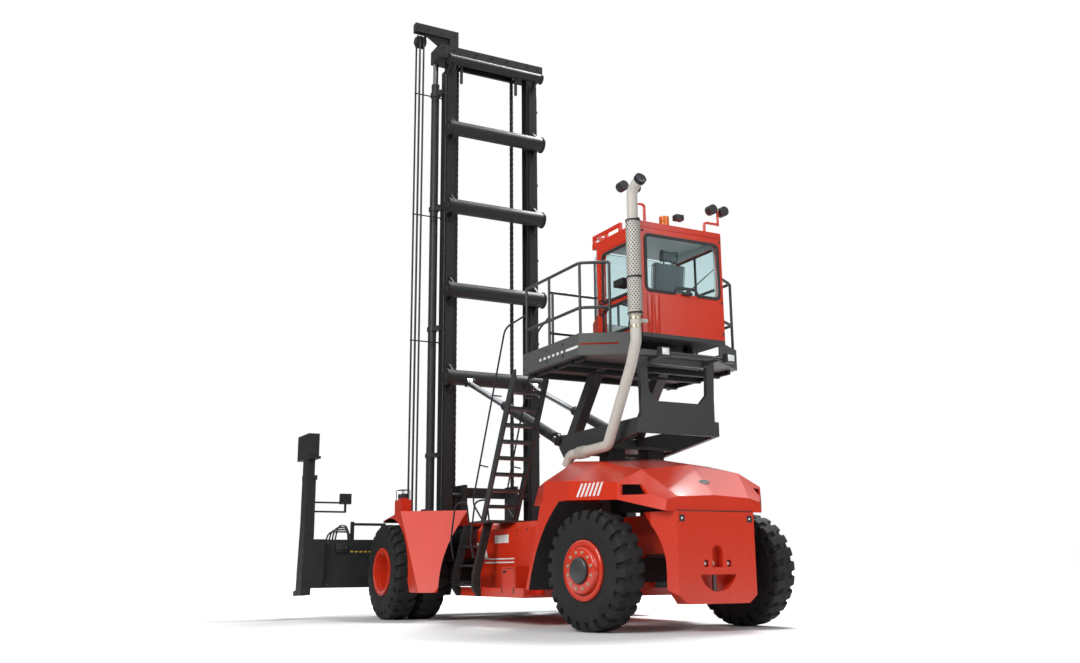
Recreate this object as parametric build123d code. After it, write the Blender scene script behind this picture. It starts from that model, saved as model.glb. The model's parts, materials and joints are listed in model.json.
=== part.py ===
from build123d import *
import os
from math import radians, tan

# Empty container handler. Millimetres, +X forward, +Y left, +Z up.
# Places along X are measured from the steered rear axle; save() shifts
# every piece so that the origin is under the middle of the machine.

# Wheels
wheelbase = 4510
tyre_diameter = 1370
tyre_width = 375
tyre_sides = 18
tread_width = 300
shoulder_drop = 65
lug_gap = 80
lug_depth = 28
sidewall_taper = 12
bead_radius = 350
rim_seat_radius = 305
rim_flange_radius = 345
rim_width = 330
rim_wall = 20
rim_step = 14
flange_width = 18
twin_spacing = 430
front_wheel_plane = 1885
rear_wheel_plane = 1110
kingpin_y = 900
parked_steer = 10
hub_radius = 200
hub_reach = 120
spindle_radius = 110

# Fits
seat_gap = 0.3
slide_gap = 5
pass_gap = 10

# Frame
frame_top = 1330
frame_bottom = 400
girder_inner = 450
girder_outer = 620
spine_half = 300
body_rear = 1400
body_front = 4800
side_box_outer = 1000
sill_outer = 1300
wheel_sweep = 830
rear_overhang = 900
counterweight_bottom = 310
counterweight_half = 540
counterweight_flank = 720

# Tower, platform and cab
tower_half = 600
tower_plate = 60
tower_rear = -250
tower_front = 1560
column_x = 830
column_y = 300
column_size = 240
deck_bottom = 3230
deck_thickness = 70
deck_front = 1580
deck_half = 1200
deck_corner = 90
deck_rear = -280
deck_rear_half = 630
kick_height = 200
rail_top = 4400
rail_mid = 3830
rail_radius = 20
cab_rear = -440
cab_pillar = 600
cab_nose = 1080
cab_half = 610
nose_half = 400
cab_floor = 3420
cab_top = 4870
cab_wall = 50
sill_line = 3900
glass_thickness = 8

# Mast
tube_offset = 407
tube_radius = 125
top_tube_radius = 80
rail_outer_y = 870
rail_width = 150
rail_depth = 280
rail_wall = 28
rail_bottom = 320
rail_height = 9280
inner_gap = 8
inner_width = 140
inner_wall = 24
lift_offset = 90
lift_radius = 70
lift_rod_radius = 48
chain_x_offset = 75
chain_y = 538
pivot_x_offset = 445
pivot_z = 640
pin_radius = 45
tilt_y = 600
tilt_barrel_radius = 75
tilt_rod_radius = 45

# Spreader
beam_depth = 260
beam_bottom = 450
beam_height = 730
beam_wall = 28
flange_length = 180
post_depth = 240
post_width = 150
post_outer = 3000
post_top = 2150
head_length = 570
head_bottom = 2400
head_top = 2790
hook_inset = 73
hook_radius = 28
hook_length = 110

axle_z = tyre_diameter / 2
front_axle = wheelbase
mast_tube_x = front_axle + tube_offset
rail_rear = mast_tube_x + tube_radius
rail_front = rail_rear + rail_depth
rail_mid_x = (rail_rear + rail_front) / 2
lift_x = rail_front + lift_offset
lift_y = rail_outer_y + pass_gap + lift_radius
pivot_x = front_axle + pivot_x_offset
chain_x = rail_front + chain_x_offset
tube_heights = [rail_height * share for share in (0.40625, 0.565, 0.722, 0.874)]
top_tube_height = rail_height + 110
tilt_foot = (tower_front + 130, 2405)
tilt_eye = (mast_tube_x - 227, tube_heights[0] - 115)
beam_rear = lift_x + lift_radius + 5 * pass_gap
beam_half = post_outer - post_width - flange_length - 2 * pass_gap
arm_inner = beam_half - post_width
post_rear = beam_rear - 152
head_front = post_rear + head_length
hook_y = post_outer - hook_inset
kick_top = deck_bottom + deck_thickness + kick_height
machine_front = head_front + hook_length
origin_x = (machine_front - rear_overhang) / 2


def block(x0, x1, y0, y1, z0, z1):
    centre = Pos((x0 + x1) / 2, (y0 + y1) / 2, (z0 + z1) / 2)
    return centre * Box(x1 - x0, y1 - y0, z1 - z0)


def side_plate(points, y0, y1):
    """Outline in (x, z), from y0 to y1."""
    outline = make_face(Polyline(*points, close=True))
    return extrude(Plane.XZ.offset(-y1) * outline, y1 - y0)


def cross_plate(points, x0, x1):
    """Outline in (y, z), from x0 to x1."""
    outline = make_face(Polyline(*points, close=True))
    return extrude(Plane.YZ.offset(x0) * outline, x1 - x0)


def flat_plate(points, z0, z1):
    """Outline in (x, y), from z0 to z1."""
    outline = make_face(Polyline(*points, close=True))
    return extrude(Plane.XY.offset(z0) * outline, z1 - z0)


def bar(start, end, radius):
    run = Vector(*end) - Vector(*start)
    return extrude(Plane(Vector(*start), z_dir=run) * Circle(radius), run.length)


def pipe(points, radius, bend):
    path = FilletPolyline(*points, radius=bend)
    return sweep(Plane(path @ 0, z_dir=path % 0) * Circle(radius), path=path)


def turned(profile, x=0, z=0):
    """Profile in (y, radius), turned about the line along Y through x, z."""
    outline = make_face(Polyline(*profile, close=True))
    return Pos(x, 0, z) * revolve(Plane.YZ * outline, axis=Axis.Y)


def mirrored(shape):
    return mirror(shape, about=Plane.XZ)


def both(shape):
    return [shape, mirrored(shape)]


def save(node, *shapes):
    placed = [Pos(-origin_x, 0, 0) * shape for shape in shapes]
    solids = [solid for shape in placed for solid in shape.solids()]
    export_step(Compound(solids), f"parts/{node}.step")


# Wheels and axles
def tyre():
    """Tyre about the Y axis: one facet with a lug on each shoulder, repeated round the wheel."""
    half = tyre_width / 2
    edge = half - sidewall_taper
    bore = rim_seat_radius + seat_gap
    outline = [  # offset from the middle plane, radius over the flats
        (rim_width / 2, bore),
        (rim_width / 2, bead_radius),
        (half, axle_z - 3 * shoulder_drop),
        (edge, axle_z - shoulder_drop),
        (tread_width / 2, axle_z),
    ]
    outline += [(-offset, radius) for offset, radius in reversed(outline)]
    profile = Plane.YZ * make_face(Polyline(*outline, close=True))
    facet_half = axle_z * tan(radians(180 / tyre_sides))
    wedge = [(0, 0), (2 * facet_half, 2 * axle_z), (-2 * facet_half, 2 * axle_z)]
    facet = extrude(profile, 2 * facet_half, both=True) & side_plate(wedge, -tyre_width, tyre_width)
    shoulder = Vector(0, (tread_width / 2 + edge) / 2, axle_z - shoulder_drop / 2)
    outward = Vector(0, shoulder_drop, edge - tread_width / 2)
    groove = Plane(shoulder, x_dir=(1, 0, 0), z_dir=outward) * Pos(facet_half - lug_gap, 0, -lug_depth)
    groove *= Box(
        tyre_width, 4 * shoulder_drop, 3 * lug_depth, align=(Align.MIN, Align.CENTER, Align.MIN)
    )
    facet = facet - groove - Rot(0, 0, 180) * groove
    facets = [Rot(0, 360 * number / tyre_sides, 0) * facet for number in range(tyre_sides)]
    return facets[0] + facets[1:]


def rim_edge(plane):
    """Barrel outline with both flanges, from the inner to the outer face."""
    inner = plane - rim_width / 2 - flange_width - seat_gap
    outer = plane + rim_width / 2 + flange_width + seat_gap
    return [
        (inner, rim_flange_radius),
        (inner + flange_width, rim_flange_radius),
        (inner + flange_width, rim_seat_radius),
        (outer - flange_width, rim_seat_radius),
        (outer - flange_width, rim_flange_radius),
        (outer, rim_flange_radius),
    ]


def front_rims():
    inner_plane = front_wheel_plane - twin_spacing
    middle = front_wheel_plane - twin_spacing / 2
    barrel = rim_seat_radius - rim_wall
    inner_edge = rim_edge(inner_plane)
    outer_edge = rim_edge(front_wheel_plane)
    start = inner_edge[0][0]
    end = outer_edge[-1][0]
    bore = spindle_radius + seat_gap
    profile = [(start, barrel)] + inner_edge
    profile += [(inner_edge[-1][0], rim_seat_radius), (outer_edge[0][0], rim_seat_radius)]
    step = barrel - rim_step
    profile += outer_edge + [(end, barrel), (end - rim_wall, barrel), (end - rim_wall, step)]
    profile += [(end - 3 * rim_wall, step), (end - 3 * rim_wall, step - rim_step)]
    profile += [(middle + rim_wall, step - rim_step)]
    profile += [
        (middle + rim_wall, hub_radius),
        (middle + hub_reach - 2 * rim_wall, hub_radius),
        (middle + hub_reach, hub_radius - 2 * rim_wall),
        (middle + hub_reach, 0),
        (middle, 0),
        (middle, bore),
        (middle - hub_radius, bore),
        (middle - hub_radius, hub_radius),
        (middle - rim_wall, hub_radius),
        (middle - rim_wall, barrel),
    ]
    return turned(profile, front_axle, axle_z)


def drive_axle():
    stub_end = front_wheel_plane - twin_spacing / 2 - slide_gap
    hub_face = front_wheel_plane - twin_spacing / 2 - hub_radius - slide_gap
    profile = [
        (0, 0), (stub_end, 0), (stub_end, spindle_radius), (hub_face, spindle_radius),
        (hub_face, 170), (420, 170), (250, 300), (0, 320),
    ]
    half = turned(profile, front_axle, axle_z)
    pad = block(front_axle - 150, front_axle + 150, girder_inner, girder_outer, axle_z, axle_seat)
    return half + mirrored(half) + pad + mirrored(pad)


def rear_rim():
    barrel = rim_seat_radius - rim_wall
    edge = rim_edge(rear_wheel_plane)
    disc = edge[-1][0] - 60
    profile = [(edge[0][0], barrel)] + edge
    step = barrel - rim_step
    profile += [(edge[-1][0], barrel), (edge[-1][0] - rim_wall, barrel), (edge[-1][0] - rim_wall, step)]
    profile += [(disc, step), (disc, rear_hub_bore)]
    profile += [(disc - rim_wall, rear_hub_bore), (disc - rim_wall, barrel)]
    return turned(profile, 0, axle_z)


def rear_hub():
    disc = rear_wheel_plane + rim_width / 2 + flange_width + seat_gap - 60
    cap = disc + 145
    bore = rear_spindle + seat_gap
    drum = rear_hub_bore + 5
    profile = [
        (disc - 120, bore), (disc - 120, drum + 45), (disc - rim_wall, drum + 45),
        (disc - rim_wall, drum), (cap - 20, drum), (cap, drum - 20), (cap, 0),
        (disc + 60, 0), (disc + 60, bore),
    ]
    return turned(profile, 0, axle_z)


def knuckle():
    pin = Pos(0, kingpin_y, axle_z) * Cylinder(kingpin_radius, 2 * yoke_top)
    body = Pos(0, kingpin_y, axle_z) * Cylinder(yoke_radius, 2 * yoke_inside - 2 * seat_gap)
    disc = rear_wheel_plane + rim_width / 2 + flange_width + seat_gap - 60
    spindle = [
        (kingpin_y, 0), (kingpin_y, yoke_radius), (disc - 125, yoke_radius),
        (disc - 125, rear_spindle), (disc + 55, rear_spindle), (disc + 55, 0),
    ]
    return pin + body + turned(spindle, 0, axle_z)


def steer_axle():
    beam = block(-100, 100, -yoke_root, yoke_root, axle_z - 140, axle_z + 140)
    ends = block(-yoke_radius, yoke_radius, yoke_root - 60, yoke_root, axle_z - yoke_top, axle_z + yoke_top)
    ear = block(-yoke_radius, yoke_radius, yoke_root - 1, kingpin_y, yoke_inside, yoke_top)
    ear += Pos(0, kingpin_y, (yoke_inside + yoke_top) / 2) * Cylinder(yoke_radius, yoke_top - yoke_inside)
    ear -= Pos(0, kingpin_y, yoke_top / 2) * Cylinder(kingpin_radius + seat_gap, yoke_top * 2)
    ears = Pos(0, 0, axle_z) * (ear + mirror(ear, about=Plane.XY))
    cylinder = bar((170, -330, axle_z), (170, 330, axle_z), 65)
    rod = bar((170, -480, axle_z), (170, 480, axle_z), 32)
    clamp = block(90, 170, -300, 300, axle_z - 60, axle_z + 60)
    trunnion = bar((-trunnion_end, 0, axle_z), (trunnion_end, 0, axle_z), trunnion_radius)
    axle = beam + ends + mirrored(ends) + ears + mirrored(ears)
    return axle + cylinder + rod + clamp + trunnion


axle_seat = axle_z + 190
rear_hub_bore = 135
rear_spindle = 60
kingpin_radius = 50
yoke_radius = 85
yoke_inside = 120
yoke_top = 175
yoke_root = 790
trunnion_radius = 70
trunnion_end = 345

os.makedirs("parts", exist_ok=True)

steered = Pos(0, kingpin_y, 0) * Rot(0, 0, parked_steer) * Pos(0, -kingpin_y, 0)
steered_right = Pos(0, -kingpin_y, 0) * Rot(0, 0, parked_steer) * Pos(0, kingpin_y, 0)
tyre_form = tyre()
front_tyres = [
    Pos(front_axle, plane, axle_z) * tyre_form
    for plane in (front_wheel_plane, front_wheel_plane - twin_spacing)
]
rear_tyre = Pos(0, rear_wheel_plane, axle_z) * tyre_form
rims = front_rims()
save("front_tyres_left", *front_tyres)
save("front_tyres_right", *[mirrored(shape) for shape in front_tyres])
save("front_rims_left", rims)
save("front_rims_right", mirrored(rims))
save("drive_axle", drive_axle())
for node, shape in (
    ("rear_tyre", rear_tyre),
    ("rear_rim", rear_rim() + rear_hub()),
    ("knuckle", knuckle()),
):
    save(f"{node}_left", steered * shape)
    save(f"{node}_right", steered_right * mirrored(shape))
save("steer_axle", steer_axle())


# Frame
def chassis_frame():
    girder = [
        (body_rear, frame_bottom), (4100, frame_bottom), (4290, axle_seat), (4730, axle_seat),
        (body_front, pivot_z - 90), (pivot_x, pivot_z - 90), (pivot_x + 90, pivot_z),
        (pivot_x, pivot_z + 90), (body_front + 60, 1000), (body_front, frame_top),
        (body_rear, frame_top),
    ]
    sides = side_plate(girder, girder_inner, girder_outer)
    pin = bar((pivot_x, girder_outer - 1, pivot_z), (pivot_x, rail_outer_y + 25, pivot_z), pin_radius)
    deck = block(body_rear, body_front, -girder_inner, girder_inner, frame_top - 40, frame_top)
    floor = block(body_rear, 4000, -girder_inner, girder_inner, frame_bottom, frame_bottom + 30)
    spine = flat_plate(
        [
            (counterweight_front, -spine_half), (620, -spine_half), (760, -girder_inner),
            (body_rear, -girder_inner), (body_rear, girder_inner), (760, girder_inner),
            (620, spine_half), (counterweight_front, spine_half),
        ],
        frame_top - spine_depth, frame_top,
    )
    rear_wall = block(body_rear - 40, body_rear, -girder_outer, girder_outer, frame_bottom, frame_top)
    cradle = block(250, 340, -200, 200, axle_z - 120, frame_top - 400)
    cradle += block(-330, -240, -110, 110, axle_z - 120, frame_top - 400)
    bore = bar((-400, 0, axle_z), (400, 0, axle_z), trunnion_radius + seat_gap)
    frame = sides + mirrored(sides) + pin + mirrored(pin) + deck + floor + spine + rear_wall
    return frame + (cradle - bore)


def front_fender():
    """Box over the twin wheels, its rear wall slanting in and down to the sill."""
    profile = [
        (body_front, fender_top - 150), (body_front, fender_top - 110), (crease_x, fender_top),
        (wall_rear + 280, fender_top), (wall_rear, fender_foot + 500), (wall_rear, fender_foot),
        (wall_rear + 460, fender_foot), (crease_x + 130, fender_top - 150),
    ]
    shell = side_plate(profile, fender_inner, fender_outer)
    crease = Vector(crease_x, fender_outer, fender_top)
    along = Vector(wall_rear + 300, fender_inner + 20, fender_top) - crease
    down = Vector(wall_rear + 120, fender_outer, fender_foot) - crease
    slant = Plane(crease, x_dir=along, z_dir=along.cross(down))
    reach = 2 * wheelbase
    shell -= slant * Box(reach, reach, wheelbase, align=(Align.CENTER, Align.CENTER, Align.MAX))
    edge_foot = (fender_outer - 230, fender_foot)
    edge_head = (fender_outer - 668, frame_top)
    edge_top = (fender_inner + 45, fender_top)
    arc = ThreePointArc(edge_foot, (fender_outer - 420, fender_foot + 537), edge_head)
    line = Polyline(edge_head, (girder_outer, frame_top), (girder_outer, fender_foot), edge_foot)
    inner_cut = Plane.YZ.offset(wall_rear - 200) * make_face(Curve() + [arc, line])
    shell -= extrude(inner_cut, body_front)
    corner = [edge_head, edge_top, (girder_outer, fender_top), (girder_outer, frame_top)]
    shell -= cross_plate(corner, wall_rear - 200, crease_x - 470)
    shell -= bar(
        (front_axle, fender_inner, axle_z), (front_axle, fender_outer + pass_gap, axle_z), axle_z + arch_gap
    )
    shelf = block(
        wall_rear + 500, body_front - 20, girder_outer, fender_inner + 100, frame_top, frame_top + 60
    )
    return shell + shelf


def filler_box():
    """Oil tank filler on the left fender, with two caps."""
    rear = front_axle - 10
    front = body_front - 20
    slope = 110 / (body_front - crease_x)
    outline = [
        (rear, fender_top - (rear - crease_x) * slope), (front, fender_top - (front - crease_x) * slope),
        (front, filler_top), (rear, filler_top),
    ]
    box = side_plate(outline, fender_outer - 330, fender_outer - 170)
    for x in (rear + 80, front - 70):
        box += bar((x, fender_outer - 250, filler_top), (x, fender_outer - 250, filler_top + 90), 50)
    return box


def rear_fender():
    top = hood_lip - seat_gap
    foot = frame_bottom + 50
    arc = ThreePointArc((body_rear - 90, foot), (960, 1110), (500, top))
    line = Polyline((500, top), (body_rear - 420, top), (body_rear - 5, foot), (body_rear - 90, foot))
    outline = make_face(Curve() + [arc, line])
    return extrude(Plane.XZ.offset(-rear_fender_outer) * outline, rear_fender_outer - girder_outer)


def side_box():
    profile = [
        (girder_outer, frame_bottom), (side_box_outer, frame_bottom), (side_box_outer, 1250),
        (side_box_outer - 80, frame_top), (girder_outer, frame_top),
    ]
    return cross_plate(profile, body_rear, side_box_front)


def sill():
    low = frame_bottom - 50
    tray = block(body_rear, sill_front, side_box_outer, sill_outer, low, low + 40)
    lip = block(body_rear, sill_front, sill_outer - 40, sill_outer, low, low + 120)
    locker = block(body_rear + 240, body_rear + 650, side_box_outer, sill_outer - 10, low + 40, low + 390)
    inboard = block(body_rear, sill_front - 200, girder_inner, side_box_outer, low, frame_bottom)
    return tray + lip + locker + inboard


def counterweight():
    rear = -rear_overhang
    plan = flat_plate(
        [
            (rear, -counterweight_half), (counterweight_front, -counterweight_half),
            (counterweight_front, counterweight_half), (rear, counterweight_half),
        ],
        counterweight_bottom, frame_top,
    )
    flank = flat_plate(
        [
            (rear, counterweight_half - 1), (rear + 260, counterweight_flank),
            (counterweight_front, counterweight_flank), (counterweight_front, counterweight_half - 1),
        ],
        counterweight_bottom, frame_top,
    )
    mass = plan + flank + mirrored(flank)
    slope = [
        (counterweight_half - 110, counterweight_bottom), (counterweight_flank, counterweight_bottom),
        (counterweight_flank, counterweight_bottom + 240),
    ]
    chamfer_cut = cross_plate(slope, rear, counterweight_front)
    sweep_ball = Pos(0, kingpin_y, axle_z) * Sphere(wheel_sweep)
    sweep_drum = Pos(0, kingpin_y, axle_z / 2) * Cylinder(wheel_sweep, axle_z)
    room = sweep_ball + sweep_drum + chamfer_cut
    mass = mass - room - mirrored(room)
    pocket = block(rear, rear + 110, -75, 75, 710, 880)
    pocket += bar((rear, 0, 880), (rear + 110, 0, 880), 75)
    slot = bar((rear, 0, 700), (rear + slot_depth, 0, 700), 260)
    slot -= block(rear, rear + slot_depth, -300, 300, 630, 1000)
    lamp = block(rear, rear + lamp_depth, lamp_inner, lamp_outer, lamp_low, lamp_high)
    eye = block(rear, rear + 60, 130, 190, 715, 790)
    axle_room = block(
        counterweight_front - 40, counterweight_front, -400, 400,
        counterweight_bottom, frame_top - spine_depth,
    )
    return mass - pocket - slot - lamp - mirrored(lamp) - eye - mirrored(eye) - axle_room


def tow_pin():
    x = -rear_overhang + slot_depth / 2
    return bar((x, 0, 442), (x, 0, 630 - seat_gap), 24)


def rear_lamp():
    rear = -rear_overhang
    return block(
        rear, rear + lamp_depth, lamp_inner + seat_gap, lamp_outer - seat_gap, lamp_low + seat_gap, lamp_high
    )


def work_lamps():
    """Two lamps on a cross tube that is held behind the tower."""
    x = tower_rear - 370
    z = deck_bottom - 40
    lamps = bar((x, -540, z), (x, 540, z), 16)
    for y in (-400, 400):
        lamps += block(x, tower_rear, y - 20, y + 20, z - 20, z + 20)
    for y in (-480, 480):
        lamps += block(x - 80, x, y - 65, y + 65, z - 50, z + 60)
    return lamps


counterweight_front = -340
slot_depth = 170
spine_depth = 460
lamp_depth = 40
lamp_inner = 440
lamp_outer = 510
lamp_low = frame_top - 115
lamp_high = frame_top - 40
side_box_front = 3450
sill_front = 3480
hood_lip = 1500
fender_outer = front_wheel_plane + 65
fender_inner = front_wheel_plane - twin_spacing - tyre_width
fender_top = tyre_diameter + 180
fender_foot = frame_bottom
arch_gap = 95
crease_x = front_axle - 440
wall_rear = front_axle - 1310
filler_top = fender_top + 200
rear_fender_outer = 1270
fender = front_fender()
save("chassis_frame", chassis_frame())
save("front_fenders", *both(fender))
save("filler_box", filler_box())
save("rear_fenders", *both(rear_fender()))
save("side_boxes", *both(side_box()))
save("side_sills", *both(sill()))
save("counterweight", counterweight())
save("tow_pin", tow_pin())
save("rear_lamps", *both(rear_lamp()), work_lamps())

# Hood over the engine
hood_sections = (  # x, crown height, brow (y, z), crease (y, z), lip (y, z)
    (1420, 1930, (700, 1900), (1060, 1740), (1130, hood_lip)),
    (950, 2075, (780, 2040), (1220, 1770), (1265, hood_lip)),
    (300, 2040, (800, 1975), (1235, 1730), (1275, hood_lip)),
    (-450, 1905, (700, 1825), (1030, 1670), (1040, 1470)),
    (-880, 1520, (500, 1495), (660, 1455), (680, frame_top + seat_gap)),
)
hood_wall = 30


def hood_form(inset):
    sections = []
    last = len(hood_sections) - 1
    for number, (x, crown, brow, crease, lip) in enumerate(hood_sections):
        half = [(y - inset, z - inset) for y, z in (brow, crease)] + [(lip[0] - inset, lip[1])]
        if inset:
            half[-1] = (half[-1][0], lip[1] - 200)
        outline = [(-y, z) for y, z in reversed(half)] + [(0, crown - inset)] + half
        ends = {0: -inset, last: inset}
        place = Plane.YZ.offset(x + ends.get(number, 0))
        sections.append(place * make_face(Polyline(*outline, close=True)))
    return loft(sections, ruled=True)


def hood():
    shell = hood_form(0) - hood_form(hood_wall)
    for side in (1, -1):
        low = side * column_y - column_size / 2 - pass_gap
        high = side * column_y + column_size / 2 + pass_gap
        ahead = column_x + column_size / 2 + pass_gap
        shell -= block(column_x - column_size / 2 - pass_gap, ahead, low, high, frame_top, 2300)
        shell -= block(-760, -470, side * 1150 - 350, side * 1150 + 350, 1520, 1640)
    return shell


save("hood", hood())
save("engine_block", block(-150, 640, -330, 330, frame_top + 60, 1830))


# Tower that carries the cab
def tower_base():
    profile = [
        (tower_rear, tower_waist), (column_x + 270, tower_low), (tower_front, tower_low + 20),
        (tower_front + 130, tower_waist), (tower_front + 20, tower_top - 20), (tower_rear, tower_top),
    ]
    side = side_plate(profile, tower_half - tower_plate, tower_half)
    inside = tower_half - tower_plate
    floor = block(column_x - 200, column_x + 300, -inside, inside, column_top, column_top + 40)
    cross = block(tower_front - tower_plate, tower_front, -inside, inside, column_top, tower_top - 40)
    ear_x, ear_z = tilt_foot
    ear = bar((ear_x, tower_half - tower_plate, ear_z), (ear_x, tower_half, ear_z), 90)
    ear += block(tower_front, ear_x, tower_half - tower_plate, tower_half, tower_waist, ear_z)
    pin = bar((ear_x, tower_half - 1, ear_z), (ear_x, tower_half + 90, ear_z), pin_radius)
    frame = side + mirrored(side) + floor + cross
    return frame + ear + mirrored(ear) + pin + mirrored(pin)


def tower_columns():
    base = block(
        column_x - column_size / 2, column_x + column_size / 2,
        column_y - column_size / 2, column_y + column_size / 2, frame_top, column_top,
    )
    return both(base)


def tower_struts():
    def seat_z(x):
        return tower_top - 20 * (x - tower_rear) / (tower_front + 20 - tower_rear)

    rear, front = tower_front - 195, tower_front - 15
    profile = [
        (rear, seat_z(rear)), (front, seat_z(front)), (rear - 445, deck_bottom), (rear - 625, deck_bottom),
    ]
    return both(side_plate(profile, tower_half - 180, tower_half - 40))


def tower_arch():
    half = tower_half - tower_plate - seat_gap
    top = deck_bottom
    right = [
        (half, tower_waist), (half, arch_waist), (half + 20, top), (half - 90, top),
        (half - 110, arch_waist + 40), (half - 220, arch_waist - 80),
    ]
    outline = right + [(-y, z) for y, z in reversed(right)]
    plate = cross_plate(outline, tower_rear, tower_rear + tower_plate)
    beam = block(tower_rear, tower_rear + tower_plate, -half - 20, half + 20, top - 90, top)
    return plate + beam


tower_low = 2120
tower_waist = 2290
arch_waist = 2760
tower_top = 2470
column_top = 2190
save("tower_base", tower_base())
save("tower_columns", *tower_columns())
save("tower_uprights", *tower_struts(), tower_arch())


# Platform, railings and ladders
def deck_outline(inset):
    front = deck_front - inset
    half = deck_half - inset
    corner = deck_corner + inset / 2
    return [
        (front, -half), (corner, -half), (deck_rear + inset, -deck_rear_half - inset / 8),
        (deck_rear + inset, deck_rear_half + inset / 8), (corner, half), (front, half),
    ]


def platform():
    tray = flat_plate(deck_outline(0), deck_bottom, deck_bottom + deck_thickness + kick_height)
    tray -= flat_plate(deck_outline(12), deck_bottom + deck_thickness, cab_top)
    rear = block(-900, 300, -deck_rear_half, deck_rear_half, deck_bottom + deck_thickness, cab_top)
    gate = block(deck_front - 60, deck_front + 60, 820, deck_half - 60, deck_bottom + deck_thickness, cab_top)
    return tray - rear - gate


def railing():
    y = deck_half - 40
    front = deck_front - 40
    foot = deck_bottom + deck_thickness
    slant = Vector(deck_corner - deck_rear, deck_half - deck_rear_half)
    end = Vector(deck_rear, deck_rear_half) + slant * 0.43 + Vector(slant.Y, -slant.X).normalized() * 45
    end = (end.X, end.Y)
    corner = (deck_corner + 20, y)
    rails = []
    for z in (rail_mid, rail_top):
        rails.append(pipe([(*end, z), (*corner, z), (front, y, z)], rail_radius, 120))
    for place in (end, corner, (900, y), (front, y)):
        rails.append(bar((*place, foot), (*place, rail_top), rail_radius - 2))
    guard = rails[0]
    for rail in rails[1:]:
        guard += rail
    return guard


def front_railing():
    x = deck_front - 40
    foot = deck_bottom + deck_thickness
    guard = bar((x, -deck_half + 70, rail_top), (x, 800, rail_top), rail_radius)
    guard += bar((x, -deck_half + 70, rail_mid), (x, 800, rail_mid), rail_radius)
    for y in (-deck_half + 110, -300, 760):
        guard += bar((x, y, foot), (x, y, rail_top), rail_radius - 2)
    return guard


def upper_ladder():
    foot_x, foot_z = 2600, frame_top
    head_x, head_z = deck_front + 15, deck_bottom
    step_count = 8
    inner = deck_half - 400
    outer = deck_half + 120
    stringer = [
        (foot_x - 60, foot_z), (foot_x + 60, foot_z), (head_x + 100, head_z),
        (head_x, head_z + deck_thickness), (head_x, head_z - 60),
    ]
    ladder = side_plate(stringer, inner, inner + 30) + side_plate(stringer, outer - 30, outer)
    for step in range(1, step_count + 1):
        share = step / (step_count + 1)
        x = foot_x + (head_x + 50 - foot_x) * share
        z = foot_z + (head_z - foot_z) * share
        ladder += block(x - 85, x + 85, inner + 25, outer - 25, z - 16, z + 16)
    landing = block(foot_x - 240, foot_x + 260, girder_outer + 80, outer + 10, foot_z, foot_z + 30)
    return ladder + landing


def lower_steps():
    low = frame_bottom - 50
    curve = [
        (sill_outer, low), (sill_outer + 40, low), (sill_outer + 110, 450), (sill_outer + 110, 640),
        (sill_outer - 70, frame_top), (sill_outer - 170, frame_top), (sill_outer + 10, 640),
        (sill_outer + 10, low + 120), (sill_outer, low + 120),
    ]
    rear, front = 2700, 3380
    steps = cross_plate(curve, rear - 40, rear + 40) + cross_plate(curve, front - 40, front + 40)
    for z, y in ((500, 1360), (760, 1320), (1020, 1250)):
        steps += block(rear, front, y - 60, y + 40, z - 15, z + 15)
    return steps


save("platform_deck", platform())
save("platform_railings", *both(railing()), front_railing())
save("upper_ladder", upper_ladder())
save("lower_steps", lower_steps())

# Cab
door_rear = cab_rear + cab_wall + 60
door_front = cab_pillar - 75
door_bottom = kick_top + pass_gap + slide_gap
door_top = cab_top - 160
wall_bottom = cab_floor + cab_wall
wall_top = cab_top - 70
panel_edge = cab_half - cab_wall


def window_cut(u0, u1, z0, z1, place):
    centre = Pos((u0 + u1) / 2, (z0 + z1) / 2)
    return place * (centre * RectangleRounded(u1 - u0, z1 - z0, 60))


def floor_panel():
    outline = [
        (cab_rear, -cab_half), (cab_pillar, -cab_half), (cab_nose, -nose_half), (cab_nose, nose_half),
        (cab_pillar, cab_half), (cab_rear, cab_half),
    ]
    panel = flat_plate(outline, cab_floor, wall_bottom)
    mount_bottom = deck_bottom + deck_thickness
    for x in (100, cab_pillar):
        for y in (-420, 420):
            panel += bar((x, y, mount_bottom), (x, y, cab_floor), 60)
    return panel


def rear_panel():
    panel = block(cab_rear, cab_rear + cab_wall, -cab_half, cab_half, wall_bottom, wall_top)
    panel -= extrude(window_cut(*rear_window, Plane.YZ.offset(cab_rear)), cab_wall)
    return panel


def right_panel():
    panel = block(cab_rear + cab_wall, cab_pillar, -cab_half, -panel_edge, wall_bottom, wall_top)
    panel -= extrude(window_cut(*side_window, Plane.XZ.offset(panel_edge)), cab_wall)
    return panel


def left_frame():
    frame = block(cab_rear + cab_wall, cab_pillar, panel_edge, cab_half, wall_bottom, wall_top)
    opening = block(
        door_rear - slide_gap, door_front + slide_gap, panel_edge, cab_half,
        door_bottom - slide_gap, door_top + slide_gap,
    )
    return frame - opening


def door_leaf():
    leaf = block(door_rear, door_front, panel_edge, cab_half, door_bottom, door_top)
    for window in door_windows:
        leaf -= extrude(window_cut(*window, Plane.XZ.offset(-cab_half)), cab_wall)
    hinges = None
    for z in (door_bottom + 200, door_top - 200):
        knuckle_pin = bar((hinge_x, hinge_y, z - 50), (hinge_x, hinge_y, z + 50), 16)
        plate = block(hinge_x, door_rear + 60, cab_half, hinge_y + 8, z - 40, z + 40)
        hinges = knuckle_pin + plate if hinges is None else hinges + knuckle_pin + plate
    return leaf + hinges


def nose_panel():
    def outline(inset):
        return [
            (cab_pillar, -cab_half + inset), (cab_nose - inset, -nose_half + inset / 2),
            (cab_nose - inset, nose_half - inset / 2), (cab_pillar, cab_half - inset),
        ]
    inside = flat_plate(outline(cab_wall), wall_bottom, sill_line)
    return flat_plate(outline(0), wall_bottom, sill_line) - inside


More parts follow.
